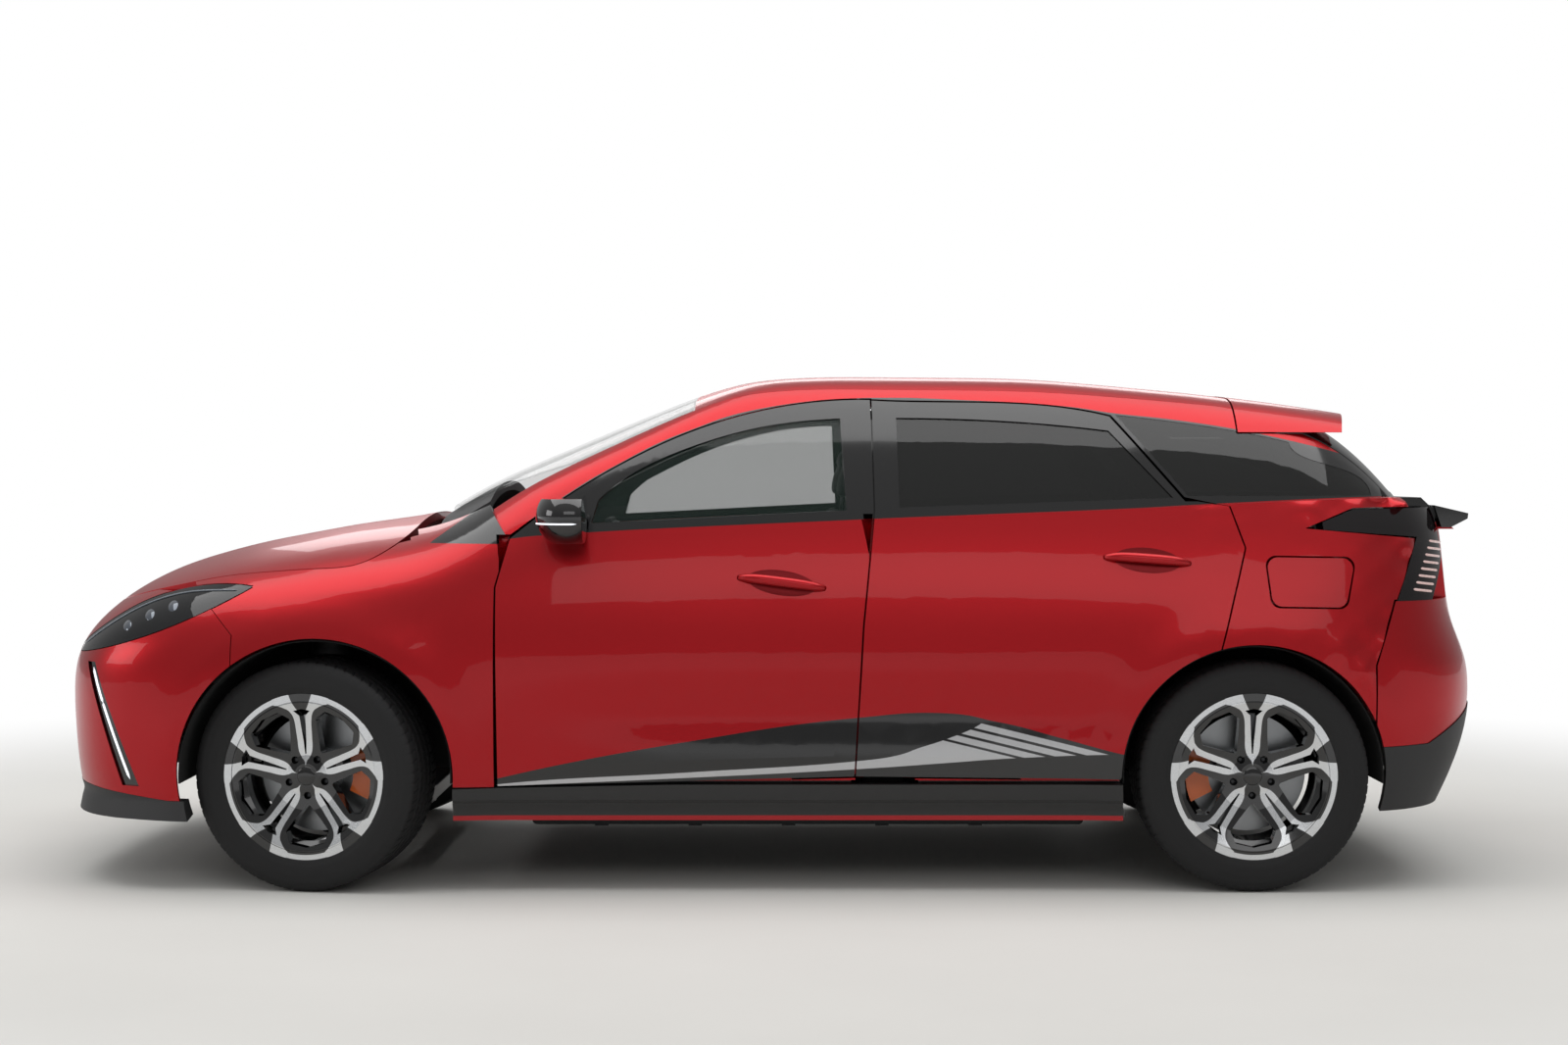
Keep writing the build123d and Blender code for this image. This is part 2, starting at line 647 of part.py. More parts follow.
def lamp_prism(g=0.0):
    """Headlamp outline seen from the side."""
    a = AXLE_F
    return prism("XZ", [
        [(a + 196 - g, 878 + g), (a + 418, 868 + g), (a + 536, 830 + g), (a + 660, 762 + g)],
        [(a + 772 + g, 692)],
        [(a + 760, 676 - g), (a + 584, 712 - g), (a + 360, 792 - g)],
    ], 400, 1200)


def bumper_shut(g=0.0):
    """What lies ahead of the shut line between fender and front bumper."""
    a = AXLE_F
    return poly("XZ", [(a + 296 - g, 806), (a + 236 - g, 742), (a + 236 - g, 100),
                       (a + 1100, 100), (a + 1100, 1200), (a + 640 - g, 1200),
                       (a + 400 - g, 900)], -1300, 1300)


def front_fender():
    skin = ring_points(lower_level, fa(-545), fa(600), -26, 34, 40, 30, 660.0)
    shell = slab(skin, sunk(lower_level, skin, SKIN))
    shell &= poly("XZ", [(fa(-521) + GAP, 305), (fa(-521) + GAP, 879), (fa(-558) + GAP, 1016),
                         (fa(-420), 1200), (fa(700), 1200), (fa(700), 305)], 0, 1300)
    shell -= bonnet_prism(GAP)
    shell -= bumper_shut()
    shell -= lamp_prism(GAP / 2)
    shell -= lamp_prism()
    shell -= lamp_prism().moved(Location((-GAP / 2, 0, -GAP / 2)))
    shell -= arch(AXLE_F, ARCH_F)
    shell -= front_sweep()
    shell -= block(fa(-600), fa(600), 0, 560, 0, 1300)
    shell -= across(BONNET_HINGE[0], BONNET_HINGE[1], 57, 0, 640)
    shell -= across(BONNET_HINGE[0], BONNET_HINGE[1], 34, 630, 670)
    return max(shell.solids(), key=lambda s: s.volume)


def front_bumper():
    skin = end_points(lower_level, fa(-60), 1, 72, 225, 862, 51, 20)
    shell = slab(skin, sunk(lower_level, skin, SKIN))
    shell &= bumper_shut(-GAP / 2)
    shell -= bonnet_prism(GAP, 300)
    for side in (1, -1):
        lamp = lamp_prism(GAP / 2)
        wheel = arch(AXLE_F, ARCH_F)
        shell -= lamp if side == 1 else mirrored(lamp)
        shell -= wheel if side == 1 else mirrored(wheel)
    shell -= intake_prism()
    shell -= slit_prism()
    shell -= mirrored(slit_prism())
    shell -= splitter_region()
    return max(shell.solids(), key=lambda s: s.volume)


def intake_prism(g=0.0):
    """Wide lower intake, seen from the front."""
    return poly("YZ", [(-560 - g, 300 - g), (560 + g, 300 - g), (500 + g, 470 + g),
                       (-500 - g, 470 + g)], fa(500), fa(1000), 24)


def slit_prism(g=0.0):
    """Upright slit at the bumper's corner, seen from the side."""
    return poly("XZ", [(fa(700) + g, 655 + g), (fa(668) - g, 655 + g), (fa(520) - g, 300 - g),
                       (fa(575) + g, 300 - g)], 450, 1200)


def splitter_region(g=0.0):
    """Everything below the sloping top edge of the splitter."""
    return poly("XZ", [(fa(0), 100), (fa(0), 262 + g), (fa(430), 262 + g), (fa(700), 290 + g),
                       (fa(1000), 300 + g), (fa(1000), 100)], -1300, 1300)


def front_splitter():
    skin = end_points(lower_level, fa(-60), 1, 72, 205, 300, 51, 6)
    wide = skin.copy()
    lip = 26 * np.clip((262 - skin[..., 2]) / 57, 0, 1)[..., None]
    wide = wide + lip * outward(lower_level, skin) * np.array([1, 1, 0])
    shell = slab(wide, sunk(lower_level, skin, 60))
    shell &= splitter_region(-GAP / 5)
    for side in (1, -1):
        wheel = arch(AXLE_F, ARCH_F - 12)
        shell -= wheel if side == 1 else mirrored(wheel)
    return max(shell.solids(), key=lambda s: s.volume)


def front_grille():
    """Black slatted insert behind the lower intake, with the two slit liners."""
    skin = end_points(lower_level, fa(-60), 1, 50, 290, 480, 31, 8)
    back = slab(sunk(lower_level, skin, SKIN + FIT), sunk(lower_level, skin, SKIN + 22))
    panel = back & intake_prism(10)
    for i in range(4):
        low = 322 + 34 * i
        panel -= block(fa(400), fa(1000), -520 + 14 * i, 520 - 14 * i, low, low + 18)
    liner_skin = end_points(lower_level, fa(-60), 1, 72, 280, 680, 41, 12)
    liner = slab(sunk(lower_level, liner_skin, 6), sunk(lower_level, liner_skin, SKIN + 14))
    slit = liner & slit_prism(-0.3)
    return [panel.solids(), slit.solids(), mirrored(slit).solids()]


def headlamp():
    skin = end_points(lower_level, fa(-60), 1, 72, 640, 900, 51, 14)
    skin = skin[len(skin) // 2 + 4:]
    body = slab(sunk(lower_level, skin, 1.0), sunk(lower_level, skin, 70))
    body &= lamp_prism()
    body -= bonnet_prism(GAP, 300)
    return max(body.solids(), key=lambda s: s.volume)


def bonnet():
    """Lid with the moving halves of its hinges."""
    skin = ring_points(lower_level, BONNET_REAR - 8, fa(735), 14, 166, 40, 45, 560.0)
    shell = slab(skin, sunk(lower_level, skin, 24))
    shell = max((shell & bonnet_prism()).solids(), key=lambda s: s.volume)
    return shell + bonnet_arm(1) + bonnet_arm(-1)


def cowl_and_wipers():
    """Black scuttle at the foot of the windscreen, with both wipers lying on the glass."""
    ring = top_points(upper_level, fa(-470), fa(-292), -560, 560, 12, 25, 900.0)
    cowl = slab(shifted(ring, dz=-14), shifted(ring, dz=-44))
    cowl &= block(fa(-470), fa(-300), -560, 560, 900, 1200)
    cowl -= across(BONNET_HINGE[0], BONNET_HINGE[1], 106, -900, 900)
    cowl = max(cowl.solids(), key=lambda s: s.volume)
    wall = FIREWALL_X + 20 + FLOOR_T + FIT
    under = top_points(upper_level, wall, wall + 20, 300, 320, 2, 2, 900.0)[..., 2].min() - 30
    for y in (-310, 310):
        cowl += block(wall, wall + 20, y - 10, y + 10, 1003 + FIT, float(under))
    return cowl


# ---------------------------------------------------------------- rear end
def rear_bumper():
    skin = end_points(lower_level, ra(60), -1, 72, 395, 850, 51, 18)
    shell = slab(skin, sunk(lower_level, skin, SKIN))
    shell &= rear_bumper_prism()
    shell -= hatch_volume(GAP)
    shell -= diffuser_region()
    for side in (1, -1):
        wheel = arch(AXLE_R, ARCH_R)
        shell -= wheel if side == 1 else mirrored(wheel)
    return max(shell.solids(), key=lambda s: s.volume)


def hatch_volume(g=0.0):
    """Plan and height taken by the tailgate below the rear window."""
    return block(TAIL_X - 200, ra(-440), -HATCH_HALF - g, HATCH_HALF + g, HATCH_FOOT - g, 1300)


def diffuser_region(g=0.0):
    return poly("XZ", [(ra(-300), 100), (ra(-300), 418 + g), (ra(-520), 424 + g),
                       (TAIL_X + 40, 520 + g), (TAIL_X - 100, 540 + g), (TAIL_X - 100, 100)],
                -1300, 1300)


def rear_diffuser():
    skin = end_points(lower_level, ra(60), -1, 72, 232, 560, 51, 14)
    shell = slab(sunk(lower_level, skin, -3), sunk(lower_level, skin, 24))
    shell &= diffuser_region(-GAP / 5) & rear_bumper_prism()
    for side in (1, -1):
        wheel = arch(AXLE_R, ARCH_R)
        shell -= wheel if side == 1 else mirrored(wheel)
    return max(shell.solids(), key=lambda s: s.volume)


def tail_lamp():
    skin = end_points(lower_level, ra(60), -1, 72, 820, 1118, 51, 14)
    skin = skin[len(skin) // 2 + 3:]
    body = slab(skin, sunk(lower_level, skin, 60))
    body &= tail_lamp_prism()
    body -= block(TAIL_X - 100, ra(0), 0, HATCH_HALF + GAP, 600, 1300)
    return max(body.solids(), key=lambda s: s.volume)


def tailgate():
    """Outer panel below the glass and the frame round the rear window, in one shell."""
    low = end_points(lower_level, ra(60), -1, 60, HATCH_FOOT, 1075, 41, 12)
    shell = slab(low, sunk(lower_level, low, 70))
    shell &= block(TAIL_X - 200, ra(-440), -HATCH_HALF, HATCH_HALF, HATCH_FOOT, 1072)
    glass = screen_points(upper_level, B_PILLAR - 200, -1, 575, 1085, 1372, 27, 14)
    frame = slab(glass, shifted(glass, dx=40))
    shell += frame
    shell += poly("XZ", [(ra(-660), 1040), (ra(-560), 1135), (ra(-500), 1135), (ra(-560), 1040)],
                  -560, 560)
    shell -= rear_window_prism()
    shell -= block(ra(-260), ra(100), -800, 800, 1330 - FIT, 1700)
    shell -= tail_light_bar(FIT)
    return max(shell.solids(), key=lambda s: s.volume)


def rear_window_prism(g=0.0):
    return poly("YZ", [(-520 - g, 1150 - g), (520 + g, 1150 - g), (470 + g, 1345 + g),
                       (-470 - g, 1345 + g)], ra(-800), ra(0), 40)


def rear_window():
    glass = screen_points(upper_level, B_PILLAR - 200, -1, 575, 1100, 1368, 27, 12)
    return slab(shifted(glass, dx=GLASS_IN), shifted(glass, dx=GLASS_IN + GLASS_T)) & \
        rear_window_prism()


def spoiler():
    ring = ring_points(roof_level, ra(-400), HATCH_FRONT, 20, 160, 22, 33)
    shell = slab(ring, sunk(roof_level, ring, 30))
    tip = [(ra(-300), 640), (ra(-352), 400), (ra(-372), 0), (ra(-352), -400), (ra(-300), -640)]
    plan = prism("XY", [tip[:-1], [tip[-1]], [(HATCH_FRONT, -700)], [(HATCH_FRONT, 700)]],
                 1200, 1700)
    shell &= plan
    shell -= block(ra(-500), ra(100), -800, 800, 1000, 1330)
    front = ring_points(roof_level, HATCH_FRONT - 75, HATCH_FRONT + 10, 48, 132, 8, 23)
    hollow = slab(sunk(roof_level, front, 8), sunk(roof_level, front, 60))
    shell -= hollow & block(HATCH_FRONT - 70, HATCH_FRONT + 5, -420, 420, 1300, 1500)
    shell = max(shell.solids(), key=lambda s: s.volume)
    x, z = HATCH_HINGE
    for y in HATCH_HINGE_Y:
        shell += rod((x, y - 13, z), (x, y + 13, z), 7)
        shell += block(x - 5, x + 5, y - 10, y + 10, z - NECK, z)
        shell += block(HATCH_FRONT - 40, x + 5, y - 10, y + 10, z - NECK, z - NECK + 10)
        shell += block(HATCH_FRONT - 40, HATCH_FRONT - 28, y - 10, y + 10, z - NECK, z + 14)
        shell -= rod((x, y - 20, z), (x, y + 20, z), 4.05)
    return shell


def tail_light_bar(g=0.0):
    """Full-width lamp blade let into the tailgate, standing proud as a lip."""
    return poly("XZ", [(TAIL_X + 48, 1088 + g), (TAIL_X + 50, 1072 - g), (ra(-640), 1046 - g),
                       (ra(-612) + g, 1046 - g), (ra(-590) + g, 1112 + g)],
                -HATCH_HALF - g, HATCH_HALF + g)


def charge_flap():
    """Lid over the socket with a barrel under its front edge."""
    skin = side_points(lower_level, ra(-330), ra(0), 790, 1000, 12, 9)
    lid = slab(skin, shifted(skin, dy=-6)) & charge_prism()
    lid += rod(flap_axis(868), flap_axis(912), 6)
    return lid - rod(flap_axis(850), flap_axis(930), FLAP_PIN_R + 0.05)


def with_charge_port(side):
    """Side wall with the charging pocket, its socket, and the pin and lugs of the lid."""
    side -= charge_prism(GAP) & block(ra(-400), ra(0), 760, 1200, 780, 1000)
    fixed = side + rod(flap_axis(858), flap_axis(922), FLAP_PIN_R)
    for z in (860, 920):
        x, y, _ = flap_axis(z)
        fixed += block(x - 8, x + 1, 740, y + 3, z - 4, z + 4)
    x = FLAP_X - 125
    fixed += rod((x, 745, 892), (x, 800, 892), 36) - rod((x, 785, 892), (x, 810, 892), 30)
    return fixed


# ---------------------------------------------------------------- doors
def shut_bevel(low, top, axis):
    """Wedge behind a window frame's rear edge, slanted along the path of that edge as it opens."""
    skin = [side_points(upper_level, x, x + 1, z, z + 1, 2, 2)[0, 0] for x, z in (low, top)]
    corners = [Vector(*map(float, p)) for p in skin]
    path = Vector((axis[1] - corners[1].Y) / (axis[0] - corners[1].X) + 0.03, -1, 0)
    outer = [p - path * 12 for p in corners]
    inner = [p + path * 75 for p in corners]
    face = Face(Wire.make_polygon([outer[0], inner[0], inner[1], outer[1]], close=True))
    return Solid.extrude(face, Vector(-120, 0, 0))


def door(runs, window, axis, hinge_edge, bevel):
    """Left door: rim outside the flange, thick inner part, window frame and hinge barrels."""
    x0, x1 = ra(-20), fa(-480)
    skin = side_points(lower_level, x0, x1, 300, belt_at, 36, 18)
    ring = ring_points(upper_level, ra(-60), fa(-545), 4, 52, 40, 16)
    rim = slab(skin, shifted(skin, dy=-EDGE_T))
    deep = slab(skin, shifted(skin, dy=-DOOR_T))
    frame = slab(ring, shifted(ring, dy=-FRAME_T, dz=-20))
    frame = frame & block(x0 - 50, x1 + 50, 0, 1200, 900, 1600)
    frame -= below_belt(30)
    outline = prism("XZ", runs(), 300, 1300)
    inner = prism("XZ", runs(-FLANGE - GAP - 4), 300, 1300)
    inner &= block(x0 - 100, axis[0] - 20, 300, 1300, 300, 1600)
    shell = (rim & outline) + (frame & outline) + (deep & inner)
    shell -= prism("XZ", window(), 300, 1300)
    shell -= arch(AXLE_R, ARCH_R)
    shell -= bevel
    shell -= block(axis[0] - 20, axis[0] + 150, 300, axis[1] - 52, 950, 1060)
    for z in HINGE_LEVELS:
        notch = block(axis[0] - 34, hinge_edge, 300, axis[1] + 18, z - 48, z + 48)
        shell -= notch
    shell = max(shell.solids(), key=lambda s: s.volume)
    for z in HINGE_LEVELS:
        shell += hinge_moving(axis, z)
    return shell


def door_glass(window):
    ring = ring_points(upper_level, ra(-60), fa(-545), 2, 52, 40, 16)
    pane = slab(sunk(upper_level, ring, GLASS_IN), sunk(upper_level, ring, GLASS_IN + GLASS_T))
    return max((pane & prism("XZ", window(), 300, 1300)).solids(), key=lambda s: s.volume)


def quarter_glass():
    ring = ring_points(upper_level, ra(-470), ra(420), 2, 50, 24, 14)
    pane = slab(sunk(upper_level, ring, 1), sunk(upper_level, ring, GLASS_T + 1))
    pane &= prism("XZ", quarter_runs(-FIT), 300, 1300)
    pane -= hatch_clearance()
    return max(pane.solids(), key=lambda s: s.volume)


def mirror_unit():
    """Door mirror: stalk on the door's shoulder and a rounded housing."""
    x, y, z = fa(-735), 925.0, 1085.0
    shell = Pos(x, y, z) * scale(Sphere(1), (92, 128, 88))
    shell &= block(x - 46, x + 140, y - 200, y + 200, z - 78, z + 78)
    arm = poly("YZ", [(y - 60, z - 60), (y + 10, z - 70), (815, 1000), (800, 1024)], x - 30,
               x + 34)
    skin = side_points(lower_level, x - 150, x + 150, 900, 1135, 8, 8)
    outside = slab(shifted(skin, dy=300), shifted(skin, dy=FIT))
    return (shell + arm) & outside


# ---------------------------------------------------------------- trim on the body
def side_skirt():
    skin = side_points(lower_level, ra(372), fa(-390), 205, 312, 30, 8)
    lift = 10 * np.clip((skin[..., 2] - 240) / 20, 0, 1)[..., None] * np.array([0, 1.0, 0])
    low = poly("XZ", [(ra(376), 207), (fa(-398), 207), (fa(-398), DOOR_FOOT - 18),
                      (B_PILLAR, DOOR_FOOT + 4), (ra(380), DOOR_FOOT - 6)], 0, 1300)
    shell = slab(skin + lift - np.array([0, 4.0, 0]), shifted(skin, dy=-80))
    return shell & low & block(ra(360), fa(-380), SKIRT_Y, 1000, 190, 340)


def arch_liner(axle, radius, inner_y, outer_y):
    t = 4.0
    ring = across(axle, TYRE_R, radius - 6, inner_y, outer_y) - \
        across(axle, TYRE_R, radius - 6 - t, inner_y, outer_y)
    wall = across(axle, TYRE_R, radius - 6, inner_y - t, inner_y)
    liner = ring + wall - across(axle, TYRE_R, 60, inner_y - 20, inner_y + 20)
    liner -= block(axle - 600, axle + 600, 0, 1200, -400, TYRE_R - 20)
    return liner


# ---------------------------------------------------------------- wheels
HUB_R = 33.0                 # stub axle on which a wheel turns
FACE_Y = 76.0                # wheel face outside the wheel's centre plane
PAD_Y = 38.0                 # hub pad, which meets the disc's bell
SPOKES = 5
BOLT_CIRCLE = 57.15


def polar(r, deg):
    return (r * math.cos(math.radians(deg)), r * math.sin(math.radians(deg)))


def rim_barrel():
    """Section of the barrel, from the outer flange to the inner flange, turned about the axle."""
    half = TYRE_W / 2 - 8
    seat, well = RIM_R - 4, RIM_R - 30
    profile = [(RIM_R + 12, half), (RIM_R + 12, half - 7), (seat + 4, half - 10), (seat + 4, half - 34),
               (well, half - 52), (well, -half + 60), (seat + 4, -half + 34), (seat + 4, -half + 10),
               (RIM_R + 12, -half + 7), (RIM_R + 12, -half), (RIM_R + 2, -half),
               (seat - 4, -half + 6), (seat - 4, -half + 36), (well - 8, -half + 62),
               (well - 8, half - 46), (seat - 6, half - 22), (seat - 6, half)]
    return turned(profile)


def spoke_window(index):
    """Petal-shaped opening between two spokes, widest at the rim."""
    mid = 90 + 36 + 72 * index
    pts = [polar(78, mid), polar(128, mid - 17), polar(172, mid - 22.5), polar(200, mid - 15),
           polar(205, mid), polar(200, mid + 15), polar(172, mid + 22.5), polar(128, mid + 17)]
    face = Face(Wire.make_polygon([Vector(x, y, 0) for x, y in pts], close=True))
    face = face.fillet_2d(7, face.vertices())
    return Solid.extrude(face.moved(Location((0, 0, -60))), Vector(0, 0, 200))


def spoke_groove(index):
    """Tapering groove along the middle of a spoke, which makes it a double spoke."""
    at = 90 + 72 * index
    pts = [polar(64, at - 1.6), polar(64, at + 1.6), polar(176, at + 3.0), polar(192, at + 7.5),
           polar(196, at), polar(192, at - 7.5), polar(176, at - 3.0)]
    face = Face(Wire.make_polygon([Vector(x, y, 0) for x, y in pts], close=True))
    return Solid.extrude(face.moved(Location((0, 0, FACE_Y - 34))), Vector(0, 0, 80))


def rim():
    """Wheel about +Z, its outer face up: dished face, five double spokes, barrel."""
    face = turned([(0, PAD_Y), (82, PAD_Y), (120, FACE_Y - 30), (RIM_R - 18, FACE_Y - 8),
                   (RIM_R - 9, FACE_Y + 6), (RIM_R - 9, TYRE_W / 2 - 10), (RIM_R - 14, TYRE_W / 2 - 9),
                   (170, FACE_Y + 18), (100, FACE_Y + 6), (60, FACE_Y + 4), (36, FACE_Y + 9),
                   (0, FACE_Y + 9)])
    for i in range(SPOKES):
        face -= spoke_window(i)
        face -= spoke_groove(i)
        x, y = polar(BOLT_CIRCLE, 90 + 36 + 72 * i)
        face -= rod((x, y, PAD_Y + 14), (x, y, 200), 11)
    face -= rod((0, 0, PAD_Y - 5), (0, 0, PAD_Y + 10), HUB_R + 2)
    whole = face + rim_barrel()
    return max(whole.solids(), key=lambda s: s.volume)


def tyre():
    half = TYRE_W / 2
    bead = half - 18 - 2 * FIT
    edge = RIM_R + 12 + 2 * FIT
    tread = half - 14
    profile = [(RIM_R + FIT, bead), (RIM_R + FIT, -bead), (edge - FIT, -bead - 3),
               (edge, -half + 7), (edge + 4, -half + 6), (edge + 22, -half + 1),
               (edge + 46, -half), (TYRE_R - 22, -half + 5), (TYRE_R - 8, -tread - 2),
               (TYRE_R - 2, -tread + 12), (TYRE_R, -tread + 34), (TYRE_R, tread - 34),
               (TYRE_R - 2, tread - 12), (TYRE_R - 8, tread + 2), (TYRE_R - 22, half - 5),
               (edge + 46, half), (edge + 22, half - 1), (edge + 4, half - 6), (edge, half - 7),
               (edge - FIT, bead + 3)]
    return turned(profile)


def disc():
    """Vented disc with its bell, which fills the space up to the hub pad."""
    inner = PAD_Y - 52
    ring = turned([(100, inner - DISC_T), (DISC_R, inner - DISC_T), (DISC_R, inner), (78, inner),
                   (78, PAD_Y), (HUB_R + 0.05, PAD_Y), (HUB_R + 0.05, PAD_Y - 9), (68, PAD_Y - 9),
                   (68, inner - 8), (100, inner - 8)])
    return ring


# a wheel's local frame has +Z outboard, +Y up and +X to the rear on the left side
def wheel_place(axle_x, side, steer=0.0):
    """Location that carries a wheel modelled about +Z to its corner of the car."""
    centre = Location(Plane(origin=(axle_x, side * TRACK / 2, TYRE_R),
                            x_dir=(-side, 0, 0), z_dir=(0, side, 0)))
    return kingpin_turn(side, steer) * centre if steer else centre


def kingpin_axis(side):
    low = Vector(AXLE_F, side * KINGPIN_LOW[0], KINGPIN_LOW[1])
    top = Vector(AXLE_F, side * KINGPIN_TOP[0], KINGPIN_TOP[1])
    return low, top


def rotation_about(origin, direction, angle):
    """Location that turns by an angle about any axis."""
    there = Location(Plane(origin=origin, z_dir=direction))
    return there * Location((0, 0, 0), (0, 0, 1), angle) * there.inverse()


def kingpin_turn(side, angle):
    low, top = kingpin_axis(side)
    return rotation_about(low, top - low, angle)


# ---------------------------------------------------------------- running gear
CALIPER_SPAN = 54.0
CALIPER_IN = 116.0
CALIPER_REAR_SIDE = -27.0    # start angle when the caliper is behind the axle, wheel frame
CALIPER_FRONT_SIDE = 153.0   # start angle when it is ahead of the axle


def ring_sector(r0, r1, low, high, start, span):
    """Part of a flat ring between two angles."""
    steps = [start + span * i / 6 for i in range(7)]
    pts = [polar(r0, a) for a in steps] + [polar(r1, a) for a in reversed(steps)]
    face = Face(Wire.make_polygon([Vector(x, y, 0) for x, y in pts], close=True))
    return Solid.extrude(face.moved(Location((0, 0, low))), Vector(0, 0, high - low))


def caliper(start, span=CALIPER_SPAN):
    """Caliper astride the disc's edge, in a wheel's local frame."""
    face = PAD_Y - 52
    body = ring_sector(CALIPER_IN, DISC_R + 16, face - DISC_T - 40, face + 26, start, span)
    return body - rod((0, 0, face - DISC_T - 3), (0, 0, face + 3), DISC_R + 4)


KNUCKLE_Z = PAD_Y - 52 - DISC_T - 12     # outer face of a knuckle in a wheel's frame


def knuckle():
    """Upright behind the disc with the stub axle, in a wheel's local frame."""
    back = KNUCKLE_Z
    body = rod((0, 0, back - 40), (0, 0, PAD_Y - 1), HUB_R)
    body += rod((0, 0, back - 44), (0, 0, back), 60)
    arms = [(-40, 40), (40, 40), (44, -40), (26, -134), (-26, -134), (-44, -40)]
    body += poly("XY", arms, back - 44, back - 8, 12)
    return body


EAR_R = 13.0


def caliper_ear(start, span):
    """Arm from the knuckle's hub to the foot of its caliper."""
    mid = start + span / 2
    ax, ay = polar(50, mid)
    bx, by = polar(CALIPER_IN - EAR_R * math.tan(math.radians(span / 12)) - FIT, mid)
    return rod((ax, ay, KNUCKLE_Z - 24), (bx, by, KNUCKLE_Z - 24), EAR_R)


def strut(side):
    """Damper on the kingpin axis with its spring and top mount."""
    low, top = kingpin_axis(side)
    run = (top - low).normalized()

    def at(d):
        return tuple(low + run * d)

    body = rod(at(300), at(718), 24)
    body += rod(at(470), at(486), 70)
    body += rod(at(486), at(680), 58)
    return body + rod(at(680), at(700), 76)


MOTOR_R = 112.0


BALL_DROP = 1.8              # below the lower kingpin point, so that a steered knuckle clears the pin


def subframes():
    """Front and rear cross members with the arms that reach to the knuckles."""
    front = block(fa(-270), fa(-200), -430, 430, 190, 240, 8)
    front += block(fa(-40), fa(40), -360, 360, 185, 345 - MOTOR_R - FIT, 8)
    for y in (-360, 320):
        front += block(fa(-270), fa(360), y, y + 40, 192, 238)
    front += block(fa(300), fa(360), -430, 430, 192, 300)
    for side in (1, -1):
        ball = (AXLE_F, side * (KINGPIN_LOW[0] - 13), KINGPIN_LOW[1] - 36)
        front += rod(ball, (AXLE_F, side * 340, 212), 16)
        front += rod(ball, (fa(-240), side * 340, 212), 16)
        front += rod(ball, (AXLE_F, ball[1], KINGPIN_LOW[1] - BALL_DROP), 7)
    rear = block(ra(-215), ra(-150) - FIT, -430, 430, 250, 310, 8)
    rear += block(ra(120) + FIT, ra(180), -430, 430, 250, 310, 8)
    for y in (-400, 350):
        rear += block(ra(-200), ra(170), y, y + 50, 255, 305)
    for side in (1, -1):
        rear += rod((ra(-175), side * 380, 280), (ra(-22), side * 674, 262), 16)
        rear += rod((ra(150), side * 380, 280), (ra(22), side * 674, 262), 16)
    return front, rear


def drive_units():
    """Motor with its reduction gear on each axle, with two half shafts each."""
    units = []
    for x, width in ((AXLE_F, 230), (AXLE_R, 250)):
        body = rod((x - 20, -width, 345), (x - 20, width - 60, 345), MOTOR_R)
        body += block(x - 150, x + 120, width - 160, width - 20, 250, 440, 20)
        body += block(x - 110, x + 90, -width + 20, width - 60, 440, 500, 12)
        units.append(body)
    return units


def drive_shafts():
    """Half shafts, each seated on its drive unit and reaching to its knuckle."""
    shafts = []
    ends = {(AXLE_F, 1): (210, 660), (AXLE_F, -1): (230, 660),
            (AXLE_R, 1): (230, 682 - FIT), (AXLE_R, -1): (250, 682 - FIT)}
    for (x, side), (start, outer) in ends.items():
        inner = start + FIT
        shaft = rod((x, side * inner, TYRE_R), (x, side * outer, TYRE_R), 14)
        shaft += rod((x, side * inner, TYRE_R), (x, side * (inner + 60), TYRE_R), 42)
        shafts.append(shaft)
    return shafts


def strut_foot(side):
    """Top of a front knuckle, which clamps the foot of its strut on the kingpin axis."""
    low, top = kingpin_axis(side)
    run = (top - low).normalized()
    return rod(tuple(low + run * 150), tuple(low + run * (300 - FIT)), 22)


FRAME_IN = 400.0             # longitudinal rails, inner and outer faces
FRAME_OUT = 450.0
BEAM_F = fa(600)             # rear face of the front bumper beam
BEAM_R = ra(-600)            # front face of the rear bumper beam


def bumper_bracket(sign, reach_x, z0, z1):
    """Pair of blocks from a bumper beam to the inside of the bumper skin."""
    start = BEAM_F if sign == 1 else BEAM_R
    x0, x1 = sorted((start, reach_x))
    both = block(x0, x1, 270, 310, z0, z1) + block(x0, x1, -310, -270, z0, z1)
    patch = end_points(lower_level, fa(-60) if sign == 1 else ra(60), sign, 40, z0 - 40, z1 + 40,
                       25, 6)
    return both - slab(sunk(lower_level, patch, -60), sunk(lower_level, patch, SKIN + FIT))


def front_frame():
    """Rails from the firewall, bumper beam, strut towers, and the bonnet's hinge brackets."""
    wall = FIREWALL_X + 20 + FLOOR_T + FIT
    frame = block(BEAM_F, BEAM_F + 40, -620, 620, 500, 580)
    frame += block(wall, wall + 26, -640, 640, 964, 1003)
    frame += bumper_bracket(1, NOSE_X + 20, 530, 570)
    for side in (1, -1):
        y0, y1 = sorted((side * FRAME_IN, side * FRAME_OUT))
        frame += block(wall, BEAM_F + 20, y0, y1, 490, 560)
        frame += block(wall, wall + 26, y0, y1, 560, 990)
        near, far = sorted((side * FRAME_IN, side * 425))
        frame += block(fa(-250), fa(-215), near, far, 240 + FIT, 500)
        frame += block(fa(310), fa(350), near, far, 300 + FIT, 500)
        frame += strut_tower(side)
        frame += bonnet_bracket(side)
    return frame


def strut_tower(side):
    low, top = kingpin_axis(side)
    run = (top - low).normalized()
    cap = rod(tuple(low + run * (718 + FIT)), tuple(low + run * 742), 80)
    y0, y1 = sorted((side * FRAME_IN, side * (LINER_IN_F - 4 - FIT)))
    tower = block(AXLE_F - 80, AXLE_F + 80, y0, y1, 555, 905)
    y0, y1 = sorted((side * FRAME_IN, side * 515))
    return cap + tower + block(AXLE_F - 80, AXLE_F + 80, y0, y1, 893, 914)


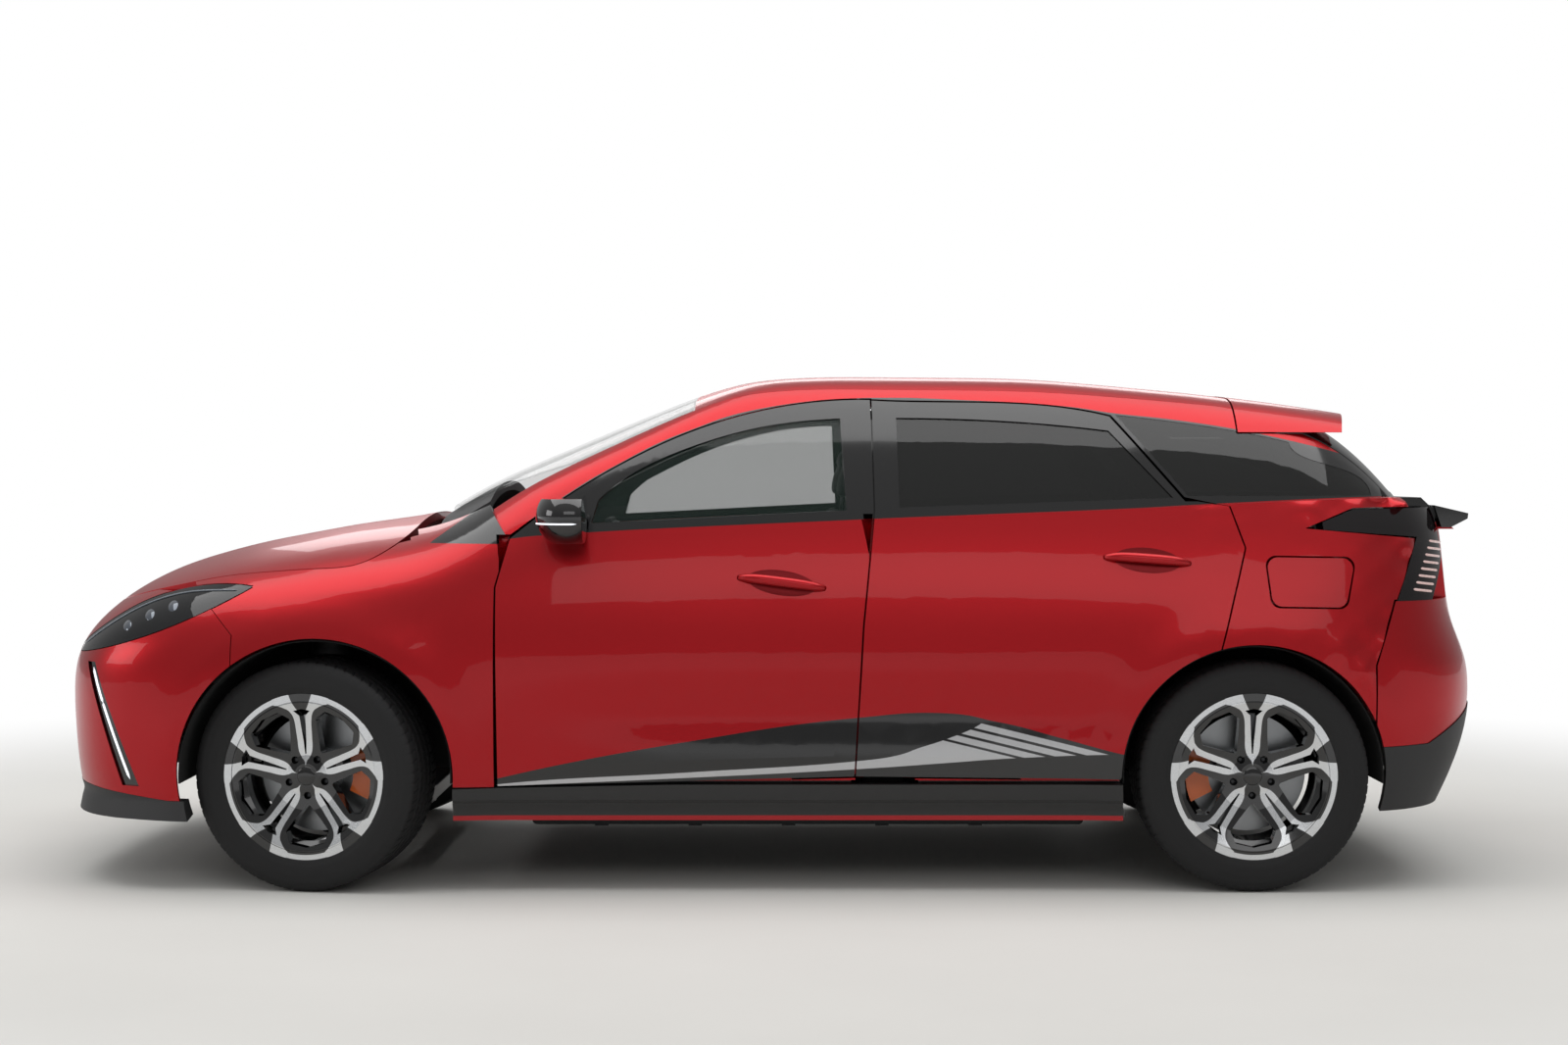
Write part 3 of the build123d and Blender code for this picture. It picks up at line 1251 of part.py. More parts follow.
BONNET_BRACKET_Y = 420.0
PIVOT_R = 6.0


def bonnet_bracket(side):
    """Fixed half of a bonnet hinge: a bar from the firewall with a pin through two lugs."""
    x, z = BONNET_HINGE
    wall = FIREWALL_X + 20 + FLOOR_T + FIT
    y = side * BONNET_BRACKET_Y
    half = rod((x, y - 26, z), (x, y + 26, z), PIVOT_R)
    for low in (y - 26, y + 16):
        half += block(wall, x + 9, low, low + 10, z - 30, z - 12)
        half += block(x - 14, x + 9, low, low + 10, z - 13, z + 7)
    return half


def bonnet_arm(side):
    """Moving half of a bonnet hinge, up to the underside of the bonnet."""
    x, z = BONNET_HINGE
    y = side * BONNET_BRACKET_Y
    arm = rod((x, y - 14, z), (x, y + 14, z), 12) + block(x - 9, x + 9, y - 10, y + 10, z, z + 38)
    return arm - rod((x, y - 20, z), (x, y + 20, z), PIVOT_R + 0.05)


def rear_frame():
    """Rails under the boot floor, the rear bumper beam and the subframe's posts."""
    frame = block(BEAM_R - 40, BEAM_R, -560, 560, 540, 600)
    frame += bumper_bracket(-1, TAIL_X - 20, 560, 595)
    for side in (1, -1):
        y0, y1 = sorted((side * (FRAME_IN - 15), side * (FRAME_OUT - 20)))
        frame += block(BEAM_R - 20, ra(200), y0, y1, 500, BOOT_Z - FIT)
        frame += block(ra(-200), ra(-165), y0, y1, 310 + FIT, 510)
        frame += block(ra(130), ra(170), y0, y1, 310 + FIT, 510)
    return frame


def battery_pack():
    pack = block(ra(460), fa(-600), -640, 640, 160, FLOOR_Z - FIT, 14)
    for i in range(5):
        x = ra(760) + 280 * i
        pack += block(x, x + 40, -600, 600, 152, 162)
    return pack


# ---------------------------------------------------------------- cabin
SEAT_X = 110.0               # hip point of the front seats
SEAT_Y = 365.0
BENCH_X = ra(560)


STEER_CENTRE = (fa(-868), 360.0, 873.0)
COLUMN_DIR = (-1.0, 0.0, 0.2)    # along the column, towards the driver
STEER_RATIO = 13.7


def column_point(depth):
    """Point on the steering column that far ahead of the wheel's centre."""
    step = depth / math.hypot(COLUMN_DIR[0], COLUMN_DIR[2])
    x, y, z = STEER_CENTRE
    return x - COLUMN_DIR[0] * step, y, z - COLUMN_DIR[2] * step


def dashboard():
    front = FIREWALL_X + 20 - FIT
    top = poly("XZ", [(front, 1000), (front, 760), (fa(-640), 700), (fa(-760), 770),
                      (fa(-770), 900), (fa(-700), 985), (fa(-560), 1020)], -640, 640, 22)
    foot = FLOOR_Z + FLOOR_T + FIT
    top += poly("XZ", [(fa(-560), 770), (fa(-1240), 500), (fa(-1320), foot), (fa(-600), foot),
                       (fa(-560), 500)], -120, 120, 20)
    top += block(fa(-800), fa(-782), -125, 125, 915, 1065, 8)
    top += rod((fa(-790), 0, 955), (fa(-720), 0, 930), 14)
    top += rod(column_point(30 + FIT), column_point(190), 30)
    return top


def steering_wheel():
    plane = Plane(origin=column_point(0), x_dir=(0, 1, 0), z_dir=COLUMN_DIR)
    ring = Solid.make_torus(178, 15)
    hub = Pos(0, 0, -8) * Cylinder(62, 34)
    spokes = block(-170, 170, -15, 15, -10, 8) + block(-15, 15, -170, 0, -10, 8)
    column = rod((0, 0, -30), (0, 0, -8), 22)
    turned_wheel = Rot(0, 0, STEER_PARKED * STEER_RATIO) * (ring + hub + spokes + column)
    return Location(plane) * turned_wheel


def front_seat(y):
    x = SEAT_X
    cushion = poly("XZ", [(x + 270, 450), (x + 290, 560), (x + 240, 590), (x - 190, 545),
                          (x - 200, 440)], y - 245, y + 245, 30)
    back = poly("XZ", [(x - 110, 520), (x - 215, 520), (x - 400, 1080), (x - 330, 1120),
                       (x - 250, 1090)], y - 235, y + 235, 30)
    rest = poly("XZ", [(x - 318, 1126), (x - 395, 1128), (x - 420, 1250), (x - 375, 1290),
                       (x - 325, 1270)], y - 120, y + 120, 20)
    posts = rod((x - 352, y - 60, 1085), (x - 362, y - 60, 1160), 7)
    posts += rod((x - 352, y + 60, 1085), (x - 362, y + 60, 1160), 7)
    foot = block(x - 150, x + 220, y - 215, y - 175, FLOOR_Z + FLOOR_T, 470)
    foot += block(x - 150, x + 220, y + 175, y + 215, FLOOR_Z + FLOOR_T, 470)
    return cushion + back + rest + posts + foot


def rear_bench():
    x = BENCH_X
    half = 500
    cushion = poly("XZ", [(x + 330, 400), (x + 340, 560), (x + 290, 590), (x - 120, 592),
                          (x - 140, 400)], -half - 100, half + 100, 30)
    cushion &= block(x - 500, x + 500, -640, 640, FLOOR_Z + FLOOR_T, 1500)
    base = block(ra(452), x + 300, -560, 560, FLOOR_Z + FLOOR_T, 440)
    back = poly("XZ", [(x - 20, 588), (x - 150, 588), (x - 330, 1060), (x - 280, 1100),
                       (x - 200, 1080)], -half - 5, half + 5, 30)
    shell = cushion + base + back
    for y in (-340, 0, 340):
        shell += poly("XZ", [(x - 235, 1096), (x - 305, 1096), (x - 322, 1190), (x - 250, 1200)],
                      y - 100, y + 100, 20)
    return shell


# ---------------------------------------------------------------- every piece
def build():
    os.makedirs("parts", exist_ok=True)
    side = body_side()
    write("body_sides", with_charge_port(side), mirrored(side), lean=True)
    write("floor_pan", floor_pan())
    write("roof_panel", roof_panel())
    write("windscreen", windscreen())
    write("front_fenders", *pair(front_fender()))
    write("front_bumper", front_bumper())
    write("front_splitter", front_splitter())
    write("front_grille", *front_grille())
    write("headlamps", *pair(headlamp()))
    write("bonnet", bonnet())
    write("cowl_and_wipers", cowl_and_wipers())
    write("rear_bumper", rear_bumper())
    write("rear_diffuser", rear_diffuser())
    write("tail_lamps", *pair(tail_lamp()))
    write("tailgate", tailgate())
    write("rear_window", rear_window())
    write("spoiler", spoiler())
    write("tail_light_bar", tail_light_bar())
    write("charge_flap", charge_flap())
    write("quarter_glass", *pair(quarter_glass()))
    write("side_skirts", *pair(side_skirt()))
    front_liner = arch_liner(AXLE_F, ARCH_F, LINER_IN_F, 880)
    front_liner -= block(AXLE_F - 85, AXLE_F + 85, LINER_IN_F + 10, 690, 640, 760)
    liners = [front_liner, arch_liner(AXLE_R, ARCH_R, LINER_IN_R, 870)]
    write("wheel_arch_liners", *liners, *[mirrored(s) for s in liners])
    doors = {
        "front_door": door(front_door_runs, front_window_runs, FRONT_HINGE, fa(-500),
                           shut_bevel((B_PILLAR - 32, 1096), (B_PILLAR - 28, 1436), FRONT_HINGE)),
        "rear_door": door(rear_door_runs, rear_window_runs, REAR_HINGE, B_PILLAR + 60,
                          shut_bevel((ra(180), 1125), (ra(393), 1386), REAR_HINGE)),
        "front_door_glass": door_glass(front_window_runs),
        "rear_door_glass": door_glass(rear_window_runs),
        "mirror": mirror_unit(),
    }
    doors["front_door"] -= rear_sweep()
    for name, shape in doors.items():
        write(name + "_left", shape)
        write(name + "_right", mirrored(shape))
    write("dashboard", dashboard())
    write("steering_wheel", steering_wheel())
    write("front_seats", front_seat(SEAT_Y), front_seat(-SEAT_Y))
    write("rear_bench", rear_bench())
    write("battery_pack", battery_pack())
    write("drive_units", *drive_units())
    write("drive_shafts", *drive_shafts())
    write("subframes", *subframes())
    write("front_struts", strut(1), strut(-1))
    write("body_rails", front_frame(), rear_frame())
    rims, tyres, discs = rim(), tyre(), disc()
    for axle, x, steer in (("front", AXLE_F, STEER_PARKED), ("rear", AXLE_R, 0.0)):
        for word, side in (("left", 1), ("right", -1)):
            at = wheel_place(x, side, steer)
            write(f"{axle}_{word}_rim", at * rims)
            write(f"{axle}_{word}_tyre", at * tyres)
            write(f"{axle}_{word}_disc", at * discs)
    for word, side in (("left", 1), ("right", -1)):
        at = wheel_place(AXLE_F, side, STEER_PARKED)
        start = CALIPER_REAR_SIDE if side == 1 else 180 - CALIPER_REAR_SIDE - CALIPER_SPAN
        hub = at * (knuckle() + caliper_ear(start, CALIPER_SPAN))
        write(f"front_{word}_knuckle", hub + strut_foot(side))
        write(f"front_{word}_caliper", at * caliper(start))
    ears, brakes = [], []
    for side in (1, -1):
        at = wheel_place(AXLE_R, side)
        start = CALIPER_FRONT_SIDE if side == 1 else 180 - CALIPER_FRONT_SIDE - CALIPER_SPAN
        ears.append(at * (knuckle() + caliper_ear(start, CALIPER_SPAN)))
        brakes.append(at * caliper(start))
    write("rear_knuckles", *ears)
    write("rear_calipers", *brakes)


build()
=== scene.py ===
# %% [markdown]
# # Looks of the electric hatchback
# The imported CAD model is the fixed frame: panels, glass, wheels and running gear are already there and
# already move. This notebook gives each of them its real finish, adds the thin pieces that were too fine
# for the CAD part, and then sets the floor, the light and the camera.

# %% Load the frame
import json
import math

import bmesh
import bpy
import numpy as np
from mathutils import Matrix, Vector


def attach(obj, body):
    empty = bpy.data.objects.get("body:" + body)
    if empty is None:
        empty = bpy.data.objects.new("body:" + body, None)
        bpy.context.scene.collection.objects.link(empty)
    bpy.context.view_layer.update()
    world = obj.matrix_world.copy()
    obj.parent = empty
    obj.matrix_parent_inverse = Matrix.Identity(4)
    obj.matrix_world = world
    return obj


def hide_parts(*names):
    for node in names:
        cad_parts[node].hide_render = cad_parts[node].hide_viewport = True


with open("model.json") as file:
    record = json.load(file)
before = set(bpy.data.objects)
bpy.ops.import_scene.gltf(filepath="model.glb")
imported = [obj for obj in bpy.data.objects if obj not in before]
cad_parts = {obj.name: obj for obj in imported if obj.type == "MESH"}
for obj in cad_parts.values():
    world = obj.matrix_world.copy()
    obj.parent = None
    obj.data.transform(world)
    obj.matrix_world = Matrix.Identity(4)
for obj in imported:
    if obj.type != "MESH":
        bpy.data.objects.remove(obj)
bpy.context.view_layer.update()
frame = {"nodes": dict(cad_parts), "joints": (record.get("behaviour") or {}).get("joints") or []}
MM = 0.001
joints = {j["name"]: j for j in frame["joints"]}

# %% [markdown]
# The driving sizes of the body come from the frame itself: the wheels' spin axes give the wheelbase and
# the tyre's radius. Every band, stripe and seam below is placed from them, in millimetres with
# X forward from the middle of the car and Z up from the ground.

# %% Driving sizes
rear_hub = np.array(joints["rear_left_wheel_spin"]["pos_m"]) / MM
AXLE_R, TYRE_R = rear_hub[0], rear_hub[2]
AXLE_F = joints["front_left_steer"]["pos_m"][0] / MM
WHEELBASE = AXLE_F - AXLE_R
B_PILLAR = AXLE_R + 0.416 * WHEELBASE
print("wheelbase", round(WHEELBASE), "tyre radius", round(TYRE_R))


def fa(d):
    """X of a point d ahead of the front axle."""
    return AXLE_F + d


def ra(d):
    """X of a point d ahead of the rear axle."""
    return AXLE_R + d


# %% [markdown]
# ## Small helpers
# A material is a few shader nodes. `add` puts in one node with its settings, and each input is either a
# number or the output of an earlier node, so a material reads from top to bottom like a recipe. Colours
# are written as the hex codes that a paint card would give, and one function makes them linear light.

# %% Node and colour helpers
def srgb(text):
    """Linear RGBA from a hex colour."""
    c = np.array([int(text[i:i + 2], 16) for i in (1, 3, 5)]) / 255
    line = np.where(c <= 0.04045, c / 12.92, ((c + 0.055) / 1.055) ** 2.4)
    return (*map(float, line), 1.0)


def add(mat, kind, settings=None, **inputs):
    """Adds one shader node; an input named i2 is the third socket, others go by their name."""
    node = mat.node_tree.nodes.new("ShaderNode" + kind)
    for key, value in (settings or {}).items():
        setattr(node, key, value)
    for key, value in inputs.items():
        socket = node.inputs[int(key[1:])] if key[1:].isdigit() else node.inputs[key.replace("_", " ")]
        if isinstance(value, bpy.types.NodeSocket):
            mat.node_tree.links.new(value, socket)
        else:
            socket.default_value = value
    return node


def calc(mat, operation, a, b=0.0, c=0.0):
    """One math node."""
    return add(mat, "Math", {"operation": operation}, i0=a, i1=b, i2=c).outputs[0]


def finish_of(name, hexcode, **inputs):
    """New material with one Principled surface, and its coordinates in metres."""
    mat = bpy.data.materials.new(name)
    mat.use_nodes = True
    mat.node_tree.nodes.clear()
    surface = add(mat, "BsdfPrincipled", Base_Color=srgb(hexcode), **inputs)
    out = add(mat, "OutputMaterial")
    mat.node_tree.links.new(surface.outputs[0], out.inputs[0])
    place = add(mat, "TexCoord").outputs["Object"]
    return mat, surface, place


def link(mat, source, surface, name):
    """Joins an output socket to a named input."""
    mat.node_tree.links.new(source, surface.inputs[name])


def split(mat, place):
    """X, Y and Z of the place, in millimetres."""
    big = add(mat, "VectorMath", {"operation": "SCALE"}, i0=place, i3=1 / MM).outputs[0]
    return add(mat, "SeparateXYZ", i0=big).outputs[:]


def curve(mat, x, points):
    """Height of a smooth line through (x, z) points, as a Float Curve."""
    xs, zs = np.array(sorted(points), float).T
    z0, z1 = zs.min() - 1, zs.max() + 1
    u = add(mat, "MapRange", i0=x, i1=float(xs[0]), i2=float(xs[-1])).outputs[0]
    node = add(mat, "FloatCurve", i1=u)
    line = node.mapping.curves[0]
    for i, (a, b) in enumerate(zip((xs - xs[0]) / (xs[-1] - xs[0]), (zs - z0) / (z1 - z0))):
        if i in (0, len(xs) - 1):
            line.points[0 if i == 0 else -1].location = (a, b)
        else:
            line.points.new(a, b)
    node.mapping.update()
    return add(mat, "MapRange", i0=node.outputs[0], i3=float(z0), i4=float(z1)).outputs[0]


def above(mat, z, line, soft=0.8):
    """1 where z is above the line, 0 below it, with an edge of that softness in millimetres."""
    gap = calc(mat, "SUBTRACT", z, line)
    return add(mat, "MapRange", i0=gap, i1=-soft, i2=soft).outputs[0]


def both(mat, *masks):
    """Product of masks: 1 only where all are."""
    result = masks[0]
    for mask in masks[1:]:
        result = calc(mat, "MULTIPLY", result, mask)
    return result


def either(mat, *masks):
    """Largest of masks: 1 where any is."""
    result = masks[0]
    for mask in masks[1:]:
        result = calc(mat, "MAXIMUM", result, mask)
    return result


def invert(mat, mask):
    """1 where a mask is 0."""
    return calc(mat, "SUBTRACT", 1.0, mask)


def blend(mat, mask, a, b):
    """Colour a where the mask is 0 and b where it is 1."""
    mix = add(mat, "Mix", {"data_type": "RGBA"}, i0=mask)
    for socket, value in ((mix.inputs[6], a), (mix.inputs[7], b)):
        if isinstance(value, str):
            socket.default_value = srgb(value)
        else:
            mat.node_tree.links.new(value, socket)
    return mix.outputs[2]


def mixed(mat, mask, a, b):
    """Number a where the mask is 0 and b where it is 1."""
    return add(mat, "MapRange", i0=mask, i3=a, i4=b).outputs[0]


def grain(mat, surface, place, size_mm, depth_mm, detail=2.0):
    """Fine bump with grains of a real size."""
    noise = add(mat, "TexNoise", Vector=place, Scale=1 / (size_mm * MM), Detail=detail).outputs[0]
    bump = add(mat, "Bump", Height=noise, Distance=depth_mm * MM, Strength=1.0)
    link(mat, bump.outputs[0], surface, "Normal")
    return noise


# %% [markdown]
# ## Mesh helpers
# Every added piece is a sheet of points worked out as one array. `sheet` turns a grid of points into a
# mesh, `tube` carries a circle along a path, and `lathe` turns a profile about an axle.

# %% Surfaces from arrays
def sheet(name, points, finish, body=None, close_u=False, close_v=False, smooth=True):
    """Mesh from a grid of points in millimetres, shape (nu, nv, 3).

    Points that coincide at a pole are joined, and a closed form whose signed volume is negative is
    turned round, so its faces point outwards.
    """
    nu, nv = points.shape[:2]
    index = np.arange(nu * nv).reshape(nu, nv)
    if close_u:
        index = np.vstack([index, index[:1]])
    if close_v:
        index = np.hstack([index, index[:, :1]])
    quads = np.stack([index[:-1, :-1], index[1:, :-1], index[1:, 1:], index[:-1, 1:]], axis=-1)
    mesh = bpy.data.meshes.new(name)
    mesh.from_pydata((points.reshape(-1, 3) * MM).tolist(), [], quads.reshape(-1, 4).tolist())
    tool = bmesh.new()
    tool.from_mesh(mesh)
    bmesh.ops.remove_doubles(tool, verts=tool.verts, dist=0.01 * MM)
    if all(edge.is_manifold for edge in tool.edges) and tool.calc_volume(signed=True) < 0:
        bmesh.ops.reverse_faces(tool, faces=tool.faces)
    tool.to_mesh(mesh)
    tool.free()
    mesh.polygons.foreach_set("use_smooth", [smooth] * len(mesh.polygons))
    mesh.materials.append(finish)
    piece = bpy.data.objects.new(name, mesh)
    bpy.context.collection.objects.link(piece)
    if body:
        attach(piece, body)
    return piece


def frames_along(path):
    """Tangent, side and up directions along a path of points."""
    run = np.gradient(path, axis=0)
    run /= np.linalg.norm(run, axis=1, keepdims=True)
    up = np.where(np.abs(run[:, 2:]) > 0.9, [[1.0, 0, 0]], [[0, 0, 1.0]])
    side = np.cross(run, up)
    side /= np.linalg.norm(side, axis=1, keepdims=True)
    return run, side, np.cross(side, run)


def tube(path, radius, sides=12, flat=1.0):
    """Circle, or an ellipse of that flatness, carried along a path."""
    path = np.asarray(path, float)
    _, side, up = frames_along(path)
    turn = np.linspace(0, 2 * np.pi, sides, endpoint=False)
    ring = np.cos(turn)[None, :, None] * side[:, None] + flat * np.sin(turn)[None, :, None] * up[:, None]
    return path[:, None] + np.broadcast_to(radius, (len(path),))[:, None, None] * ring


def capped(rings):
    """Closes both ends of a tube's rings by drawing each end ring to its middle."""
    ends = [np.broadcast_to(r.mean(0), r.shape)[None] for r in (rings[0], rings[-1])]
    return np.concatenate([ends[0], rings, ends[1]])


def lathe(profile, sides, place):
    """Turns (radius, height) pairs about Z, then puts the result where `place` sends it."""
    r, h = np.asarray(profile, float).T
    turn = np.linspace(0, 2 * np.pi, sides, endpoint=False)
    grid = np.stack([r[:, None] * np.cos(turn), r[:, None] * np.sin(turn),
                     np.broadcast_to(h[:, None], (len(r), sides))], axis=-1)
    return place(grid)

# %% [markdown]
# ## Painted panels
# The car is dipped, primed and sprayed: a deep red base with fine aluminium flakes under a clear coat.
# The flakes are far too small to show one by one, so they are drawn as a faint sparkle in the roughness,
# and the clear coat is the shader's own coat layer. The same panels also carry black: gloss film on the
# window frames and pillars, and a gloss band along the foot of the doors.

# %% Outlines that the colours follow
BELT = [(fa(-300), 985), (fa(-558), 1018), (fa(-640), 1027), (B_PILLAR, 1074), (ra(350), 1105),
        (ra(60), 1120), (ra(-400), 1138), (ra(-700), 1142)]
ROOF_RAIL = [(fa(-420), 905), (fa(-560), 1030), (fa(-702), 1136), (fa(-846), 1225), (fa(-1073), 1335),
             (fa(-1304), 1404), (B_PILLAR, 1432), (B_PILLAR - 330, 1425), (B_PILLAR - 620, 1406),
             (ra(366), 1386), (ra(200), 1368), (ra(20), 1341), (ra(-150), 1306), (ra(-330), 1262)]
BAND_TOP = [(fa(-500), 322), (fa(-527), 330), (fa(-1085), 438), (B_PILLAR, 506), (B_PILLAR - 205, 519),
            (ra(745), 494), (ra(558), 447), (ra(390), 403), (ra(330), 390)]
STRIPE_LOW = [(fa(-500), 306), (fa(-1085), 332), (B_PILLAR, 358), (ra(870), 376), (ra(720), 387),
              (ra(330), 403)]
STRIPE_TOP = [(fa(-500), 309), (fa(-527), 313), (fa(-1085), 348), (B_PILLAR + 10, 381),
              (B_PILLAR - 90, 395), (B_PILLAR - 166, 420), (B_PILLAR - 229, 440), (ra(789), 486),
              (ra(740), 540), (ra(330), 700)]
BAR_SLOPE = 0.243


def curve_values(x, points):
    """Height of an outline at x, by straight runs between its points."""
    xs, zs = np.array(sorted(points), float).T
    return np.interp(x, xs, zs)


print("belt height at the middle pillar", curve_values(B_PILLAR, BELT))

# %% Paint recipe
RED, BLACK_GLOSS, SILVER, CLADDING = "#a60c16", "#070708", "#b9babc", "#242424"


def paint(name):
    """Metallic red enamel: base, faint flake sparkle and a clear coat."""
    mat, surface, place = finish_of(name, RED, Metallic=0.85, Roughness=0.38, Coat_Weight=0.35,
                                    Coat_Roughness=0.03, Coat_IOR=1.5)
    flake = add(mat, "TexNoise", Vector=place, Scale=1 / (1.2 * MM), Detail=1.0).outputs[0]
    sparkle = add(mat, "MapRange", i0=flake, i3=0.30, i4=0.44).outputs[0]
    return mat, surface, place, sparkle


def painted(name, mask_of, second=BLACK_GLOSS, second_rough=0.12, trim=None):
    """Red paint with one region of another finish, whose mask is worked out from X and Z."""
    mat, surface, place, sparkle = paint(name)
    x, y, z = split(mat, place)
    mask = mask_of(mat, x, y, z)
    colour = blend(mat, mask, RED, second)
    metallic = mixed(mat, mask, 0.85, 0.0)
    rough = calc(mat, "ADD", calc(mat, "MULTIPLY", sparkle, invert(mat, mask)),
                 calc(mat, "MULTIPLY", mask, second_rough))
    if trim:
        colour, metallic, rough = trim(mat, x, z, colour, metallic, rough)
    link(mat, colour, surface, "Base Color")
    link(mat, metallic, surface, "Metallic")
    link(mat, rough, surface, "Roughness")
    return mat


def plain_red(mat, x, y, z):
    """No second region: 0 everywhere."""
    return calc(mat, "MULTIPLY", z, 0.0)


def band_mask(mat, x, z):
    """Black from the foot of the doors up to the band's humped top edge."""
    return invert(mat, above(mat, z, curve(mat, x, BAND_TOP)))


def door_mask(mat, x, y, z):
    """Black window frame above the belt, and the band below."""
    frame_part = above(mat, z, curve(mat, x, BELT))
    return either(mat, frame_part, band_mask(mat, x, z))


def side_mask(mat, x, y, z):
    """Pillars and rear window surround, between the belt and the roof rail."""
    over_belt = above(mat, z, curve(mat, x, BELT))
    under_rail = invert(mat, above(mat, z, curve(mat, x, ROOF_RAIL)))
    low = invert(mat, above(mat, z, 318.0))
    return either(mat, both(mat, over_belt, under_rail), low)


def door_trim(mat, x, z, colour, metallic, rough):
    """Silver stripe that widens to a wedge and ends in slanting bars, over dark cladding."""
    low = curve(mat, x, STRIPE_LOW)
    over_low = above(mat, z, low, 0.6)
    under_top = invert(mat, above(mat, z, curve(mat, x, STRIPE_TOP), 0.6))
    slant = calc(mat, "SUBTRACT", z, calc(mat, "MULTIPLY", x, BAR_SLOPE))
    edge = B_PILLAR - 229
    start = 440 - BAR_SLOPE * edge
    solid = invert(mat, above(mat, slant, start, 0.6))
    for i in range(3):
        first = start + 7 + 25.5 * i
        bar = both(mat, above(mat, slant, first, 0.6), invert(mat, above(mat, slant, first + 17.5, 0.6)))
        solid = either(mat, solid, bar)
    silver = both(mat, over_low, under_top, solid)
    cladding = invert(mat, over_low)
    colour = blend(mat, cladding, blend(mat, silver, colour, SILVER), CLADDING)
    rough = linked_mix(mat, silver, linked_mix(mat, cladding, rough, 0.55), 0.32)
    return colour, linked_mix(mat, silver, metallic, 0.6), rough


def linked_mix(mat, mask, a, b):
    """Linked number a where the mask is 0 and b where it is 1."""
    mix = add(mat, "Mix", {"data_type": "FLOAT"}, i0=mask, i2=a, i3=b)
    return mix.outputs[0]


def fender_mask(mat, x, y, z):
    """Pointed black strip that carries the window line forward over the fender."""
    slant = calc(mat, "ADD", x, calc(mat, "MULTIPLY", z, 1.27))
    return both(mat, above(mat, z, 1003.0), invert(mat, above(mat, slant, fa(-309.5) + 1.27 * 1002)))


def hatch_mask(mat, x, y, z):
    """Black window surround above the lamp blade."""
    return above(mat, z, 1062.0)


red = painted("Metallic red enamel", plain_red)
hatch_paint = painted("Tailgate enamel with black surround", hatch_mask)
fender_paint = painted("Fender enamel with black strip", fender_mask)
door_paint = painted("Door enamel with black frames and band", door_mask, trim=door_trim)
side_paint = painted("Side wall enamel with black pillars", side_mask)
print("paint finishes:", red.name, "|", door_paint.name, "|", side_paint.name)

# %% [markdown]
# ## Plastics, glass and metals
# Each of the other finishes is one short recipe. Grained plastic gets a bump whose grains are about a
# millimetre across, glass is a thin clear or smoked shell, and the cast and turned metals get the marks
# that their tools leave.

# %% Plastics
def plastic(name, hexcode, rough, grain_mm=1.6, depth=0.05, **more):
    """Moulded plastic: one colour all through, with the fine grain of its mould."""
    mat, surface, place = finish_of(name, hexcode, Roughness=rough, **more)
    noise = grain(mat, surface, place, grain_mm, depth)
    varied = add(mat, "MapRange", i0=noise, i3=rough - 0.06, i4=rough + 0.06).outputs[0]
    link(mat, varied, surface, "Roughness")
    return mat


cladding = plastic("Grained polypropylene", "#232324", 0.6)
gloss_black = plastic("Gloss black moulded plastic", "#09090a", 0.1, 6.0, 0.01, Coat_Weight=0.5)
soft_trim = plastic("Soft dashboard skin", "#1b1b1d", 0.7, 1.2, 0.08)
liner_felt = plastic("Wheel arch liner felt", "#0d0d0e", 0.95, 3.0, 0.4)
underbody = plastic("Sealed underbody", "#1d1e20", 0.75, 2.5, 0.2)
print("plastics:", cladding.name, gloss_black.name, soft_trim.name)


# %% Glass
def glass(name, hexcode, see_through):
    """Thin sheet: mostly see-through with a mirror-like surface, tinted by its colour."""
    mat, surface, place = finish_of(name, hexcode, Roughness=0.02, Alpha=1 - see_through, IOR=1.5)
    wave = add(mat, "TexNoise", Vector=place, Scale=3.0, Detail=0.0).outputs[0]
    bump = add(mat, "Bump", Height=wave, Distance=0.00012, Strength=1.0)
    link(mat, bump.outputs[0], surface, "Normal")
    return mat


clear_glass = glass("Laminated screen glass", "#1e2a26", 0.80)
door_glass = glass("Tempered green glass", "#20302a", 0.72)
dark_glass = glass("Privacy tinted glass", "#121312", 0.16)
lens = glass("Clear headlamp cover", "#0b0c0e", 0.08)
smoke_lens = glass("Smoked tail lamp cover", "#0c0507", 0.1)
print("glass:", clear_glass.name, door_glass.name, dark_glass.name)


# %% Metals and rubber
def metal(name, hexcode, rough, grain_mm, depth):
    """Bare metal, whose gloss varies a little with the marks of casting or turning."""
    mat, surface, place = finish_of(name, hexcode, Metallic=1.0, Roughness=rough)
    noise = grain(mat, surface, place, grain_mm, depth)
    varied = add(mat, "MapRange", i0=noise, i3=rough - 0.08, i4=rough + 0.08).outputs[0]
    link(mat, varied, surface, "Roughness")
    return mat


cast_alloy = metal("Sand-cast aluminium", "#8b8c8e", 0.55, 2.0, 0.2)
disc_iron = metal("Turned brake iron", "#8f9193", 0.34, 1.4, 0.03)
dark_steel = plastic("Black dipped steel", "#131416", 0.45, 4.0, 0.05)
caliper_paint = plastic("Orange caliper enamel", "#ff7414", 0.35, 3.0, 0.05, Coat_Weight=0.6)
rubber = plastic("Tyre rubber", "#161617", 0.72, 1.6, 0.08)
weave = plastic("Flat woven upholstery", "#16161a", 0.9, 1.4, 0.3, Sheen_Weight=0.3)
print("metals:", cast_alloy.name, disc_iron.name)

